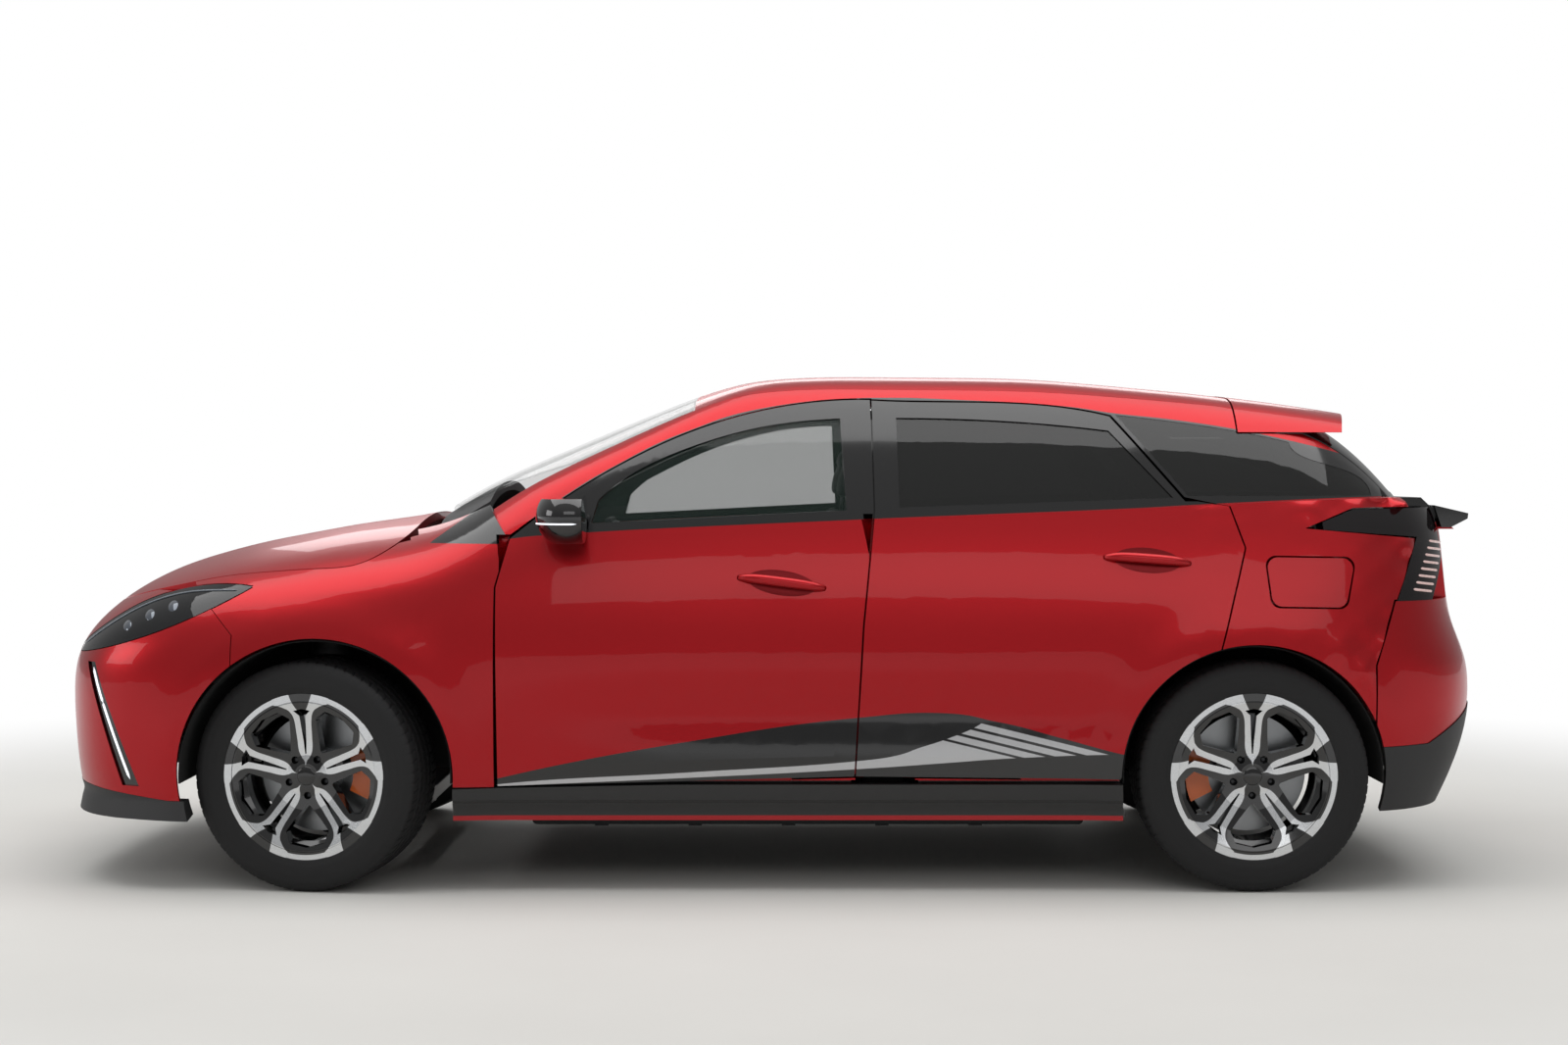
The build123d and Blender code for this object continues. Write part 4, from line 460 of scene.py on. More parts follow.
# %% Side skirt
def skirt():
    """Two-level skirt: grained black, a gloss step between the levels and a thin red foot."""
    mat, surface, place = finish_of("Skirt moulding with gloss step", CLADDING, Roughness=0.5)
    x, y, z = split(mat, place)
    noise = grain(mat, surface, place, 1.6, 0.04)
    step = both(mat, above(mat, z, 258.0), invert(mat, above(mat, z, 268.0)))
    foot = invert(mat, above(mat, z, 221.0))
    colour = blend(mat, foot, blend(mat, step, CLADDING, BLACK_GLOSS), RED)
    link(mat, colour, surface, "Base Color")
    rough = calc(mat, "MULTIPLY_ADD", step, -0.35, 0.52)
    link(mat, calc(mat, "MULTIPLY_ADD", noise, 0.1, rough), surface, "Roughness")
    return mat


skirt_finish = skirt()
print("skirt finish:", skirt_finish.name)

# %% Finishes on the CAD nodes
FINISH = {
    "body_sides": side_paint, "roof_panel": red, "front_fenders": fender_paint,
    "front_bumper": red, "bonnet": red,
    "rear_bumper": red, "spoiler": red, "charge_flap": red,
    "tailgate": hatch_paint, "tail_light_bar": gloss_black, "rear_window": dark_glass,
    "windscreen": clear_glass, "quarter_glass": dark_glass,
    "front_splitter": cladding, "front_grille": gloss_black, "cowl_and_wipers": cladding,
    "rear_diffuser": cladding, "side_skirts": skirt_finish, "wheel_arch_liners": liner_felt,
    "headlamps": lens, "tail_lamps": smoke_lens, "floor_pan": underbody, "battery_pack": underbody,
    "dashboard": soft_trim, "steering_wheel": soft_trim, "front_seats": weave, "rear_bench": weave,
    "drive_units": cast_alloy, "drive_shafts": dark_steel, "subframes": dark_steel,
    "front_struts": dark_steel, "rear_knuckles": cast_alloy, "rear_calipers": caliper_paint,
    "body_rails": dark_steel,
}
for side in ("left", "right"):
    FINISH[f"front_door_{side}"] = FINISH[f"rear_door_{side}"] = door_paint
    FINISH[f"front_door_glass_{side}"] = door_glass
    FINISH[f"rear_door_glass_{side}"] = dark_glass
    FINISH[f"mirror_{side}"] = gloss_black
    FINISH[f"front_{side}_knuckle"] = cast_alloy
    FINISH[f"front_{side}_caliper"] = caliper_paint
    for end in ("front", "rear"):
        FINISH[f"{end}_{side}_tyre"] = rubber
        FINISH[f"{end}_{side}_disc"] = disc_iron
        FINISH[f"{end}_{side}_rim"] = gloss_black


def dress(node, finish):
    """Puts one finish on a CAD node."""
    piece = frame["nodes"][node]
    piece.data.materials.clear()
    piece.data.materials.append(finish)


for node, finish in FINISH.items():
    if node in frame["nodes"]:
        dress(node, finish)
print(len(FINISH), "nodes dressed; left over:", sorted(set(frame["nodes"]) - set(FINISH)))

# %% [markdown]
# ## Wheels
# The alloy wheel is cast, dipped in gloss black, and then the tips of its spokes are turned on a lathe
# with a diamond tool. So the bright metal is only where the surface faces straight outwards. The shader
# finds that from the direction of the surface and its distance from the wheel's middle plane.

# %% Wheel frames
RIM_R = 228.6
CORNERS = [(end, side) for end in ("front", "rear") for side in ("left", "right")]


def wheel_frame(end, side):
    """Hub centre in millimetres and the wheel's own axes: rearward-or-forward, up and outboard."""
    hand = 1 if side == "left" else -1
    spin = joints[f"{end}_{side}_wheel_spin"]
    centre = np.array(spin["pos_m"]) / MM
    axes = np.array([[-hand, 0, 0], [0, 0, 1], [0, hand, 0]], float)
    if end == "front":
        k = np.array(joints[f"front_{side}_steer"]["axis"], float)
        k /= np.linalg.norm(k)
        start, end_at = np.array([0, 1.0, 0]), np.array(spin["axis"], float)
        p, q = start - start @ k * k, end_at - end_at @ k * k
        t = math.atan2(k @ np.cross(p, q), p @ q)
        cross = np.array([[0, -k[2], k[1]], [k[2], 0, -k[0]], [-k[1], k[0], 0]])
        axes = axes @ (np.eye(3) + math.sin(t) * cross + (1 - math.cos(t)) * cross @ cross).T
    return centre, axes


def at_wheel(end, side):
    """Function that carries points of a wheel's own frame to the car."""
    centre, axes = wheel_frame(end, side)
    return lambda grid: grid @ axes + centre


def body_of_wheel(end, side):
    """Name of the body that a wheel's pieces ride on."""
    return f"{end}_{side}_wheel"


print("front left hub", np.round(wheel_frame("front", "left")[0], 1))


# %% Diamond-cut rims
ARM_EDGE = [(30, 0), (42, 3), (56, 12), (76, 20), (120, 23), (170, 27), (190, 35), (206, 52), (218, 70),
            (228, 84), (245, 86)]
FORK_EDGE = [(30, -2), (120, -2), (168, 0), (190, 12), (215, 25), (245, 36)]
RING_FROM, RING_TO = 225.0, 239.5
LAND = 66.0
TOOL_STEP = 1.6


def rim_finish(end, side):
    """Gloss black casting whose outward faces are bare, finely turned metal.

    The lathe cuts only the raised lands: each arm from its tip near the hub to where it flares at the
    flange, and the flange between two spokes. The fork between a spoke's two arms stays black.
    """
    mat, surface, place = finish_of(f"Cast and diamond-cut alloy {end} {side}", BLACK_GLOSS,
                                    Coat_Weight=0.6, Coat_Roughness=0.04)
    centre, axes = wheel_frame(end, side)
    out = tuple(map(float, axes[2]))
    normal = add(mat, "TexCoord").outputs["Normal"]
    away = add(mat, "VectorMath", {"operation": "SUBTRACT"}, i0=place, i1=tuple(centre * MM)).outputs[0]
    depth = add(mat, "VectorMath", {"operation": "DOT_PRODUCT"}, i0=away, i1=out).outputs["Value"]
    along = add(mat, "VectorMath", {"operation": "SCALE"}, i0=out, i3=depth).outputs[0]
    flat = add(mat, "VectorMath", {"operation": "SUBTRACT"}, i0=away, i1=along).outputs[0]
    radius = add(mat, "VectorMath", {"operation": "LENGTH"}, i0=flat).outputs["Value"]
    facing = add(mat, "VectorMath", {"operation": "DOT_PRODUCT"}, i0=normal, i1=out).outputs["Value"]
    plan = [add(mat, "VectorMath", {"operation": "DOT_PRODUCT"}, i0=away, i1=tuple(map(float, axes[i])))
            .outputs["Value"] for i in (0, 1)]
    turn = calc(mat, "SUBTRACT", calc(mat, "ARCTAN2", plan[1], plan[0]), math.pi / 2)
    fold = calc(mat, "PINGPONG", turn, math.pi / 5)
    r = calc(mat, "MULTIPLY", radius, 1 / MM)
    d = calc(mat, "MULTIPLY", r, calc(mat, "SINE", fold))
    on_arm = invert(mat, above(mat, d, curve(mat, r, ARM_EDGE), 0.5))
    past_fork = above(mat, d, curve(mat, r, FORK_EDGE), 0.5)
    on_ring = both(mat, above(mat, r, RING_FROM, 0.5), invert(mat, above(mat, r, RING_TO, 0.5)))
    bright = both(mat, add(mat, "MapRange", i0=facing, i1=0.80, i2=0.86).outputs[0],
                  above(mat, depth, LAND * MM, 0.001), past_fork, either(mat, on_arm, on_ring))
    rings = calc(mat, "SINE", calc(mat, "MULTIPLY", radius, 2 * math.pi / (TOOL_STEP * MM)))
    cut = calc(mat, "MULTIPLY", rings, bright)
    bump = add(mat, "Bump", Height=cut, Distance=0.02 * MM, Strength=0.6)
    link(mat, bump.outputs[0], surface, "Normal")
    link(mat, blend(mat, bright, BLACK_GLOSS, "#d2d4d6"), surface, "Base Color")
    link(mat, bright, surface, "Metallic")
    link(mat, mixed(mat, bright, 0.12, 0.27), surface, "Roughness")
    return mat


for end, side in CORNERS:
    dress(f"{end}_{side}_rim", rim_finish(end, side))
print("four rims with bright faces")

# %% [markdown]
# The tyre is vulcanised in a mould that presses in its grooves. Its surface is one grid of angle against
# distance along the section: the section gives radius and width, and every groove takes a few
# millimetres off the radius where the grid crosses it.

# %% Tyre surface
SIPES = 72


def smooth_step(value, start, end):
    """Rises from 0 to 1 between start and end as 3t^2 - 2t^3."""
    t = np.clip((value - start) / (end - start), 0, 1)
    return t * t * (3 - 2 * t)


def tyre_section(count=30):
    """Half section from the bead to the shoulder, as evenly spaced (radius, height) points."""
    r = [RIM_R + 8, 241.2, 245, 263, 287, 303, 314, 322, 327.5, 331]
    h = [97, 110.5, 111.6, 116.4, 117.2, 116, 113.2, 109, 104.4, 98.5]
    length = np.concatenate([[0], np.cumsum(np.hypot(np.diff(r), np.diff(h)))])
    even = np.linspace(0, length[-1], count)
    return np.interp(even, length, r), np.interp(even, length, h)


def tyre_points(place, turns=720, across=45):
    """Grid of angle against section; grooves are dips in the radius."""
    r_side, h_side = tyre_section()
    h_tread = np.linspace(96, -96, across)
    r_tread = TYRE_R - 0.6 - 3.0 * (np.abs(h_tread) / 100) ** 4
    r = np.concatenate([[RIM_R + 1], r_side, r_tread, r_side[::-1], [RIM_R + 1]])
    h = np.concatenate([[90], h_side, h_tread, -h_side[::-1], [-90]])
    turn = np.linspace(0, 2 * np.pi, turns, endpoint=False)
    r, h, turn = r[None, :], h[None, :], turn[:, None]
    on_tread = smooth_step(-np.abs(h), -99, -97)
    rings = sum(1 - smooth_step(np.abs(np.abs(h) - c), 3.0, 5.0) for c in (20.0, 57.0))
    slant = np.where(np.abs(h) > 57, 0.10, 0.22)
    saw = np.abs(((turn * SIPES / (2 * np.pi) + slant * h / 12) % 1) - 0.5) * 2
    lateral = smooth_step(saw, 0.78, 0.9) * np.where(np.abs(h) > 61, 1.0, 0.55) * (np.abs(h) > 8)
    dip = on_tread * np.maximum(6.5 * rings, 5.0 * lateral)
    shoulder = smooth_step(r, 312, 318) * (1 - on_tread) * (np.abs(h) > 97)
    dip = dip + 1.6 * shoulder * smooth_step(saw, 0.78, 0.9)
    ridge = 0.8 * sum(np.exp(-((r - c) / 1.1) ** 2) for c in (252.0, 257.5, 306.0)) * (np.abs(h) > 97)
    radius = r - dip
    width = h + np.sign(h) * np.minimum(ridge, 117.4 - np.minimum(np.abs(h), 117.4))
    return place(np.stack([radius * np.cos(turn), radius * np.sin(turn), width + 0 * turn], axis=-1))


def rubber_finish():
    """Carbon-black rubber: dull, its colour a little lighter and darker at random over the whole tyre.
    """
    mat, surface, place = finish_of("Vulcanised tyre rubber", "#1a1a1b", Roughness=0.7,
                                    Specular_IOR_Level=0.35)
    noise = grain(mat, surface, place, 2.2, 0.12)
    link(mat, blend(mat, noise, "#141415", "#202021"), surface, "Base Color")
    link(mat, add(mat, "MapRange", i0=noise, i3=0.6, i4=0.8).outputs[0], surface, "Roughness")
    return mat


tyre_rubber = rubber_finish()
for end, side in CORNERS:
    grid = tyre_points(at_wheel(end, side))
    tyre = sheet(f"moulded_tyre_{end}_{side}", grid[::-1], tyre_rubber,
                 body_of_wheel(end, side), close_u=True, close_v=True)
    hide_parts(f"{end}_{side}_tyre")
print("tyres:", 4, "grids of", grid.shape)

# %% [markdown]
# Five hexagon-headed bolts sit in wells round the hub, and a plain domed cap closes the middle.

# %% Bolts and centre caps
bolt_steel = metal("Black zinc-plated steel", "#3a3b3d", 0.35, 2.0, 0.02)
BOLT = [(0, 68), (5.6, 68), (7.6, 67.2), (8.6, 65.6), (8.6, 56), (11, 55.6), (11, 53), (0, 53)]
CAP = [(0, 89.6), (10, 89.3), (19, 88.4), (24.5, 87.1), (27, 85.6), (27.6, 84.2), (29.5, 84.4),
       (31, 85.6), (31.6, 84), (31.6, 83), (0, 83)]
for end, side in CORNERS:
    place = at_wheel(end, side)
    cap = lathe(CAP, 48, place)
    sheet(f"centre_cap_{end}_{side}", cap[::-1], gloss_black, body_of_wheel(end, side), close_v=True)
    for i in range(5):
        turn = math.radians(90 + 36 + 72 * i)
        shift = np.array([57.15 * math.cos(turn), 57.15 * math.sin(turn), 0])
        bolt = lathe(BOLT, 6, lambda grid: place(grid + shift))
        sheet(f"wheel_bolt_{end}_{side}_{i + 1}", bolt[::-1], bolt_steel, body_of_wheel(end, side),
              close_v=True, smooth=False)
print("bolts and caps on", len(CORNERS), "wheels")

# %% [markdown]
# ## The body's skin as a formula
# Handles, light strips and seams have to lie exactly on the doors and lamps. The body's sides are the
# surface where one smooth formula equals 1, so the same formula finds the skin again: rays start inside
# the body, and halving the interval many times finds where each one comes out.

# %% Master curves
NOSE_X, TAIL_X, WAIST, BODY_HALF = fa(842), ra(-740), 640.0, 903.0


def spline(*points):
    """Natural cubic through (position, value) pairs, straight beyond both ends."""
    xs, ys = np.array(sorted(points), float).T
    h, n = np.diff(xs), len(xs)
    a, rhs = np.eye(n), np.zeros(n)
    inner = np.arange(1, n - 1)
    a[inner, inner - 1], a[inner, inner], a[inner, inner + 1] = h[:-1], 2 * (h[:-1] + h[1:]), h[1:]
    rhs[1:-1] = 6 * np.diff(np.diff(ys) / h)
    m = np.linalg.solve(a, rhs)
    slope = np.diff(ys) / h

    def at(x):
        x = np.asarray(x, float)
        i = np.clip(np.searchsorted(xs, x) - 1, 0, n - 2)
        u, v = xs[i + 1] - x, x - xs[i]
        value = (m[i] * u ** 3 + m[i + 1] * v ** 3) / (6 * h[i])
        value = value + (ys[i] / h[i] - m[i] * h[i] / 6) * u
        value = value + (ys[i + 1] / h[i] - m[i + 1] * h[i] / 6) * v
        value = np.where(x < xs[0], ys[0] + (slope[0] - h[0] * m[1] / 6) * (x - xs[0]), value)
        return np.where(x > xs[-1], ys[-1] + (slope[-1] + h[-1] * m[-2] / 6) * (x - xs[-1]), value)

    return at


nose_at = spline((180, NOSE_X - 60), (300, NOSE_X - 34), (450, NOSE_X - 20), (600, NOSE_X - 12),
                 (720, NOSE_X - 14), (850, NOSE_X - 40), (1100, NOSE_X - 90))
tail_at = spline((180, TAIL_X + 120), (330, TAIL_X + 50), (450, TAIL_X + 12), (560, TAIL_X),
                 (660, TAIL_X + 12), (770, TAIL_X + 52), (900, TAIL_X + 66), (1010, TAIL_X + 58),
                 (1090, TAIL_X + 40), (1250, TAIL_X + 20))
deck_at = spline((fa(860), 752), (fa(650), 872), (fa(540), 921), (fa(410), 962), (fa(285), 993),
                 (fa(155), 1018), (fa(30), 1041), (fa(-100), 1060), (fa(-230), 1080),
                 (fa(-400), 1132), (fa(-650), 1280), (fa(-1000), 1400), (ra(500), 1420),
                 (ra(0), 1400), (ra(-300), 1340), (ra(-470), 1265), (ra(-600), 1172),
                 (ra(-720), 1092))
drop_at = spline((fa(900), 118), (fa(300), 118), (fa(-300), 112), (fa(-600), 60), (fa(-900), 22),
                 (ra(600), 14), (ra(-700), 14))
print("skin curves from", round(TAIL_X), "to", round(NOSE_X))


# %% Lower skin
def half_width(x, z):
    """Parabolic bow about the waist, plus haunch and wheel arch flares, less the door's scoop."""
    bow = np.where(z > WAIST, 4.0e-4, 1.75e-4) * (z - WAIST) ** 2
    haunch = 9 * np.exp(-(((x - AXLE_R) / 480) ** 2) - ((z - 760) / 190) ** 2)
    flare = 0.0
    for axle, radius in ((AXLE_F, 400.0), (AXLE_R, 383.0)):
        r = np.hypot(x - axle, z - TYRE_R)
        flare = flare + 12 / (1 + np.exp((r - radius - 80) / 22))
    scoop = 16 * np.exp(-(((z - 515) / 85) ** 2)) / (1 + np.exp((np.abs(x + 250) - 780) / 120))
    return BODY_HALF - bow + haunch + flare - scoop


def lower_level(x, y, z):
    """Superellipse in plan, closed at nose and tail, under a crowned deck; 1 on the skin."""
    front = np.maximum(x - fa(-250), 0) / (nose_at(z) - fa(-250))
    rear = np.maximum(ra(200) - x, 0) / (ra(200) - tail_at(z))
    plan = ((np.abs(y) / half_width(x, z)) ** 3.6 + front ** 5 + rear ** 5) ** 0.25
    crown = deck_at(x) - drop_at(x) * (np.abs(y) / 880) ** 2.2
    return (plan ** 11 + (z / crown) ** 11) ** (1 / 11)


def on_skin(start, heading, lift=0.0):
    """Points where rays leave the lower skin, then moved out along the skin's normal."""
    start = np.asarray(start, float)
    heading = np.broadcast_to(np.asarray(heading, float), start.shape)
    near = np.zeros(start.shape[:-1])
    far_out = near + 3200.0
    for _ in range(44):
        mid = (near + far_out) / 2
        inside = lower_level(*np.moveaxis(start + mid[..., None] * heading, -1, 0)) < 1
        near, far_out = np.where(inside, mid, near), np.where(inside, far_out, mid)
    p = start + near[..., None] * heading
    steps = 2.0 * np.eye(3)
    normal = np.stack([lower_level(*np.moveaxis(p + s, -1, 0)) - lower_level(*np.moveaxis(p - s, -1, 0))
                       for s in steps], axis=-1)
    normal /= np.linalg.norm(normal, axis=-1, keepdims=True)
    return p + np.asarray(lift)[..., None] * normal


def on_side(x, z, lift=0.0):
    """Points of the left side at the given stations and heights."""
    x, z = np.broadcast_arrays(np.asarray(x, float), np.asarray(z, float))
    return on_skin(np.stack([x, 0 * x, z], axis=-1), (0, 1.0, 0), np.broadcast_to(lift, x.shape))


MIRROR = np.array([1.0, -1.0, 1.0])


def left_and_right(name, grid, finish, body, **more):
    """The same piece on both sides; the right one is the mirror image with its rows turned round."""
    bodies = {"left": body.replace("SIDE", "left"), "right": body.replace("SIDE", "right")}
    return [sheet(f"{name}_left", grid, finish, bodies["left"], **more),
            sheet(f"{name}_right", (grid * MIRROR)[::-1], finish, bodies["right"], **more)]


print("door skin at the waist", np.round(on_side([0.0], [WAIST])[0], 1))

# %% [markdown]
# ## Door handles
# A pull handle is a moulded bar in the body's colour: it leaves the door, runs a finger's width outside
# it and comes back. A tube does this: its path stands off the skin by an amount that rises quickly at
# each end. Behind it lies a thin oval plate of darker red: painted shade that stands in for the finger
# recess.

# %% Handles
def handle_grid(x0, z0, x1, z1):
    """Tube that leaves the skin by the fifth power of the distance from its middle."""
    s = np.linspace(0, 1, 41)
    stand = 24 * (1 - np.abs(2 * s - 1) ** 5) - 5
    path = on_side(x0 + (x1 - x0) * s, z0 + (z1 - z0) * s, stand)
    return capped(tube(path, 15.0 - 6.0 * np.abs(2 * s - 1) ** 3, 16, 1.0))


def recess_shade_grid(x0, z0, x1, z1):
    """Thin oval plate on the skin, as rings of an ellipse; it carries the painted shade of the finger
    recess.
    """
    ring = np.linspace(0, 1, 9)[:, None]
    turn = np.linspace(0, 2 * np.pi, 40, endpoint=False)[None, :]
    u, v = ring * np.cos(turn), ring * np.sin(turn)
    x = (x0 + x1) / 2 + u * 0.40 * (x1 - x0)
    z = (z0 + z1) / 2 + u * 0.40 * (z1 - z0) + v * 36
    return on_side(x, z, 1.3 - 0.9 * ring ** 6)


HANDLES = {"front": (-166, 877, 80, 908), "rear": (-1218, 948, -976, 966)}
# The plate under each handle is a darker red than the body: painted shade that stands in for the finger
# recess, which is not cut into the door.
recess_shade_paint = plastic("Darkened enamel painted as recess shade", "#74070f", 0.35, 4.0, 0.01, Metallic=0.7)
for end, (x0, z0, x1, z1) in HANDLES.items():
    left_and_right(f"{end}_door_handle", handle_grid(x0, z0, x1, z1), red, f"{end}_SIDE_door",
                   close_v=True)
    left_and_right(f"{end}_handle_recess_shade", recess_shade_grid(x0, z0, x1, z1)[::-1], recess_shade_paint, f"{end}_SIDE_door",
                   close_v=True)
print("handles on four doors")

# %% [markdown]
# ## Lamps
# A modern headlamp is a clear cover over a black housing with small projector lenses and a light guide
# that runs along its edge. The guides are moulded acrylic lit from one end, so they glow evenly: a
# faint emission does that without lighting the floor.

# %% Light guides
def glow(name, hexcode, strength):
    """Lit acrylic light guide: milky and faintly glowing, brighter in streaks."""
    mat, surface, place = finish_of(name, hexcode, Roughness=0.25, Emission_Color=srgb(hexcode),
                                    Emission_Strength=strength)
    streak = add(mat, "TexNoise", Vector=place, Scale=1 / (9 * MM), Detail=1.0).outputs[0]
    link(mat, add(mat, "MapRange", i0=streak, i3=0.15, i4=0.4).outputs[0], surface, "Roughness")
    return mat


white_guide = glow("White acrylic light guide", "#e9eef5", 0.9)
pale_rib = glow("Pale acrylic comb", "#d3b4b0", 0.2)
unlit_guide = glow("Unlit acrylic light guide", "#7d848c", 0.0)


def strip_on(points, lift, radius, flat=1.0, sides=10):
    """Rounded strip along a chain of (x, z) points on the side, resampled to a smooth line."""
    x, z = np.array(points, float).T
    t = np.concatenate([[0], np.cumsum(np.hypot(np.diff(x), np.diff(z)))])
    s = np.linspace(0, t[-1], 61)
    bend_x, bend_z = spline(*zip(t, x)), spline(*zip(t, z))
    path = on_side(bend_x(s), bend_z(s), lift)
    taper = np.clip(np.minimum(s, t[-1] - s) / 12, 0.15, 1)
    return capped(tube(path, radius * taper, sides, flat))


LAMP_TOP = [(fa(240), 868), (fa(418), 856), (fa(536), 818), (fa(640), 762), (fa(735), 702)]
left_and_right("lamp_light_guide", strip_on(LAMP_TOP, 0.2, 2.4), unlit_guide, "body", close_v=True)
print("light guides in both headlamps")

# %% Projector lenses
def dome(centre_x, centre_z, radius, depth):
    """Spherical cap on the skin: rings whose height falls off as the square of their radius."""
    ring = np.linspace(0, 1, 9)[:, None]
    turn = np.linspace(0, 2 * np.pi, 36, endpoint=False)[None, :]
    x, z = centre_x + radius * ring * np.cos(turn), centre_z + radius * ring * np.sin(turn)
    return on_side(x, z, depth + 5 * (1 - ring ** 2))


lens_glass = plastic("Polished projector lens", "#4a515b", 0.05, 9.0, 0.01, Metallic=0.6,
                     Coat_Weight=1.0)
for i, (x, z, r) in enumerate([(fa(430), 822, 19), (fa(500), 796, 19), (fa(570), 764, 18)]):
    left_and_right(f"projector_lens_{i + 1}", dome(x, z, r, -3.0)[::-1], lens_glass, "body",
                   close_v=True)
print("three lenses in each headlamp")

# %% [markdown]
# The bumper's corners have an upright slit with a bright line in it, and the tail lamps show a comb of
# pale ribs behind their smoked cover. Both are short rounded strips laid on the skin.

# %% Slit lights and tail lamp comb
def bar_on(x, z, lift, radius, count=25):
    """Straight rounded bar between two points of the side."""
    s = np.linspace(0, 1, count)
    path = on_side(x[0] + (x[1] - x[0]) * s, z[0] + (z[1] - z[0]) * s, lift)
    taper = np.clip(np.minimum(s, 1 - s) / 0.04, 0.15, 1)
    return capped(tube(path, radius * taper, 10))


left_and_right("slit_light_guide", bar_on((fa(680), fa(553)), (640, 318), -6.0, 4.0), white_guide,
               "body", close_v=True)
ribs = np.linspace(862, 1000, 8)
for i, z in enumerate(ribs):
    back = ra(-545) - 95 * (z - 838) / 184
    rib = bar_on((back + 10, back + 82), (z, z + 9), -1.2, 4.0, 13)
    left_and_right(f"tail_lamp_rib_{i + 1}", rib, pale_rib, "body", close_v=True)
print("slit lights and", len(ribs), "ribs a side")


# %% [markdown]
# ## Mirrors
# The housing is moulded in gloss black. Its glass is first-surface silvered and slightly domed, and the
# repeater is a thin acrylic line round the outside.

# %% Mirror glass and repeater
MIRROR_AT = np.array([fa(-735), 925.0, 1085.0])
MIRROR_HALF = np.array([92.0, 128.0, 88.0])
mirror_silver = plastic("Silvered mirror glass", "#c3c8cc", 0.05, 9.0, 0.005, Metallic=1.0)


def mirror_disc():
    """Ellipse with squarer corners, domed by the square of the distance from its middle."""
    ring = np.linspace(0, 1, 8)[:, None]
    turn = np.linspace(0, 2 * np.pi, 48, endpoint=False)[None, :]
    c, s = np.cos(turn), np.sin(turn)
    y = 99 * ring * np.sign(c) * np.abs(c) ** 0.8
    z = 60 * ring * np.sign(s) * np.abs(s) ** 0.8
    return MIRROR_AT + np.stack([-46.5 - 3 * (1 - ring ** 2) + 0 * y, y, z], axis=-1)


def repeater():
    """Line at one height round the housing's ellipsoid."""
    turn = np.radians(np.linspace(-5, 112, 40))
    low = -20.0
    wide = math.sqrt(1 - (low / MIRROR_HALF[2]) ** 2)
    path = MIRROR_AT + np.stack([MIRROR_HALF[0] * wide * np.cos(turn),
                                 MIRROR_HALF[1] * wide * np.sin(turn), low + 0 * turn], axis=-1)
    return capped(tube(path, 2.6 * np.clip(np.minimum(turn - turn[0], turn[-1] - turn) * 8, 0.2, 1), 10))


left_and_right("mirror_glass", mirror_disc(), mirror_silver, "front_SIDE_door", close_v=True)
left_and_right("mirror_repeater", repeater(), white_guide, "front_SIDE_door", close_v=True)
print("mirror glass and repeaters")

# %% [markdown]
# ## Seats
# A seat pad is moulded foam pulled into a sewn cover. Foam pushes outwards and the seams hold it back,
# so every face is crowned and each seam is a valley. The form is a superellipsoid: a box whose corners
# are rounded by one exponent, with narrow valleys pressed in along the seams. It stands for the plain
# solid.

# %% Padded form
def seat_cloth():
    """Woven polyester: two sets of threads cross every 2 mm, drawn coarse enough to show."""
    mat, surface, place = finish_of("Woven polyester seat cloth", "#17171a", Roughness=0.9,
                                    Sheen_Weight=0.35, Sheen_Roughness=0.5)
    x, y, z = split(mat, place)
    rate = 2 * math.pi / 2.4
    warp = calc(mat, "SINE", calc(mat, "MULTIPLY", calc(mat, "ADD", x, z), rate))
    weft = calc(mat, "SINE", calc(mat, "MULTIPLY", y, rate))
    cross = calc(mat, "MULTIPLY", warp, weft)
    bump = add(mat, "Bump", Height=cross, Distance=0.3 * MM, Strength=0.7)
    link(mat, bump.outputs[0], surface, "Normal")
    # The colour follows the weave's height: lighter on the raised threads and darker in the hollows
    # between them, which is painted shade.
    shade = add(mat, "MapRange", i0=cross, i1=-1.0, i2=1.0).outputs[0]
    link(mat, blend(mat, shade, "#121214", "#222226"), surface, "Base Color")
    return mat


SEAM_W = 7.0
SQUARENESS = 0.42


def bend_power(value, power):
    """Power that keeps the sign, which turns a circle into a rounded square."""
    return np.sign(value) * np.abs(value) ** power


def pad_grid(centre, half, lean, seams=(), cross_seams=(), valley=6.0, nu=72, nv=44):
    """Superellipsoid with valleys at seams across Y and at cross seams along the other long side."""
    u = np.linspace(-np.pi, np.pi, nu, endpoint=False)[:, None]
    v = np.linspace(-np.pi / 2, np.pi / 2, nv)[None, :]
    x = half[0] * bend_power(np.cos(v), SQUARENESS) * bend_power(np.cos(u), SQUARENESS)
    y = half[1] * bend_power(np.cos(v), SQUARENESS) * bend_power(np.sin(u), SQUARENESS)
    z = half[2] * bend_power(np.sin(v), SQUARENESS) + 0 * u
    thin = 0 if half[0] < half[2] else 2
    run = z if thin == 0 else x
    grid = np.stack([x, y, z], axis=-1)
    dip = sum(np.exp(-((y - s) / SEAM_W) ** 2) for s in seams)
    dip = dip + sum(np.exp(-((run - s) / SEAM_W) ** 2) for s in cross_seams)
    crown = 1 - 0.10 * (y / half[1]) ** 2
    grid[..., thin] *= crown
    grid[..., thin] -= np.sign(grid[..., thin]) * valley * dip * (np.abs(grid[..., thin]) > valley)
    t = math.radians(lean)
    turn = np.array([[math.cos(t), 0, math.sin(t)], [0, 1, 0], [-math.sin(t), 0, math.cos(t)]])
    return grid @ turn.T + centre


cloth = seat_cloth()
side_cloth = plastic("Grained seat leatherette", "#19191b", 0.55, 1.8, 0.12)
print("cloth:", cloth.name, "and", side_cloth.name)


# %% Front seats
SEAT_X, SEAT_Y = 110.0, 365.0


def soft(name, grid, finish, fill=0.9):
    """Padded piece on the body, as a sheet closed round. The argument fill, the share of foam, is not
    used.
    """
    piece = sheet(name, grid, finish, "body", close_u=True)
    return piece


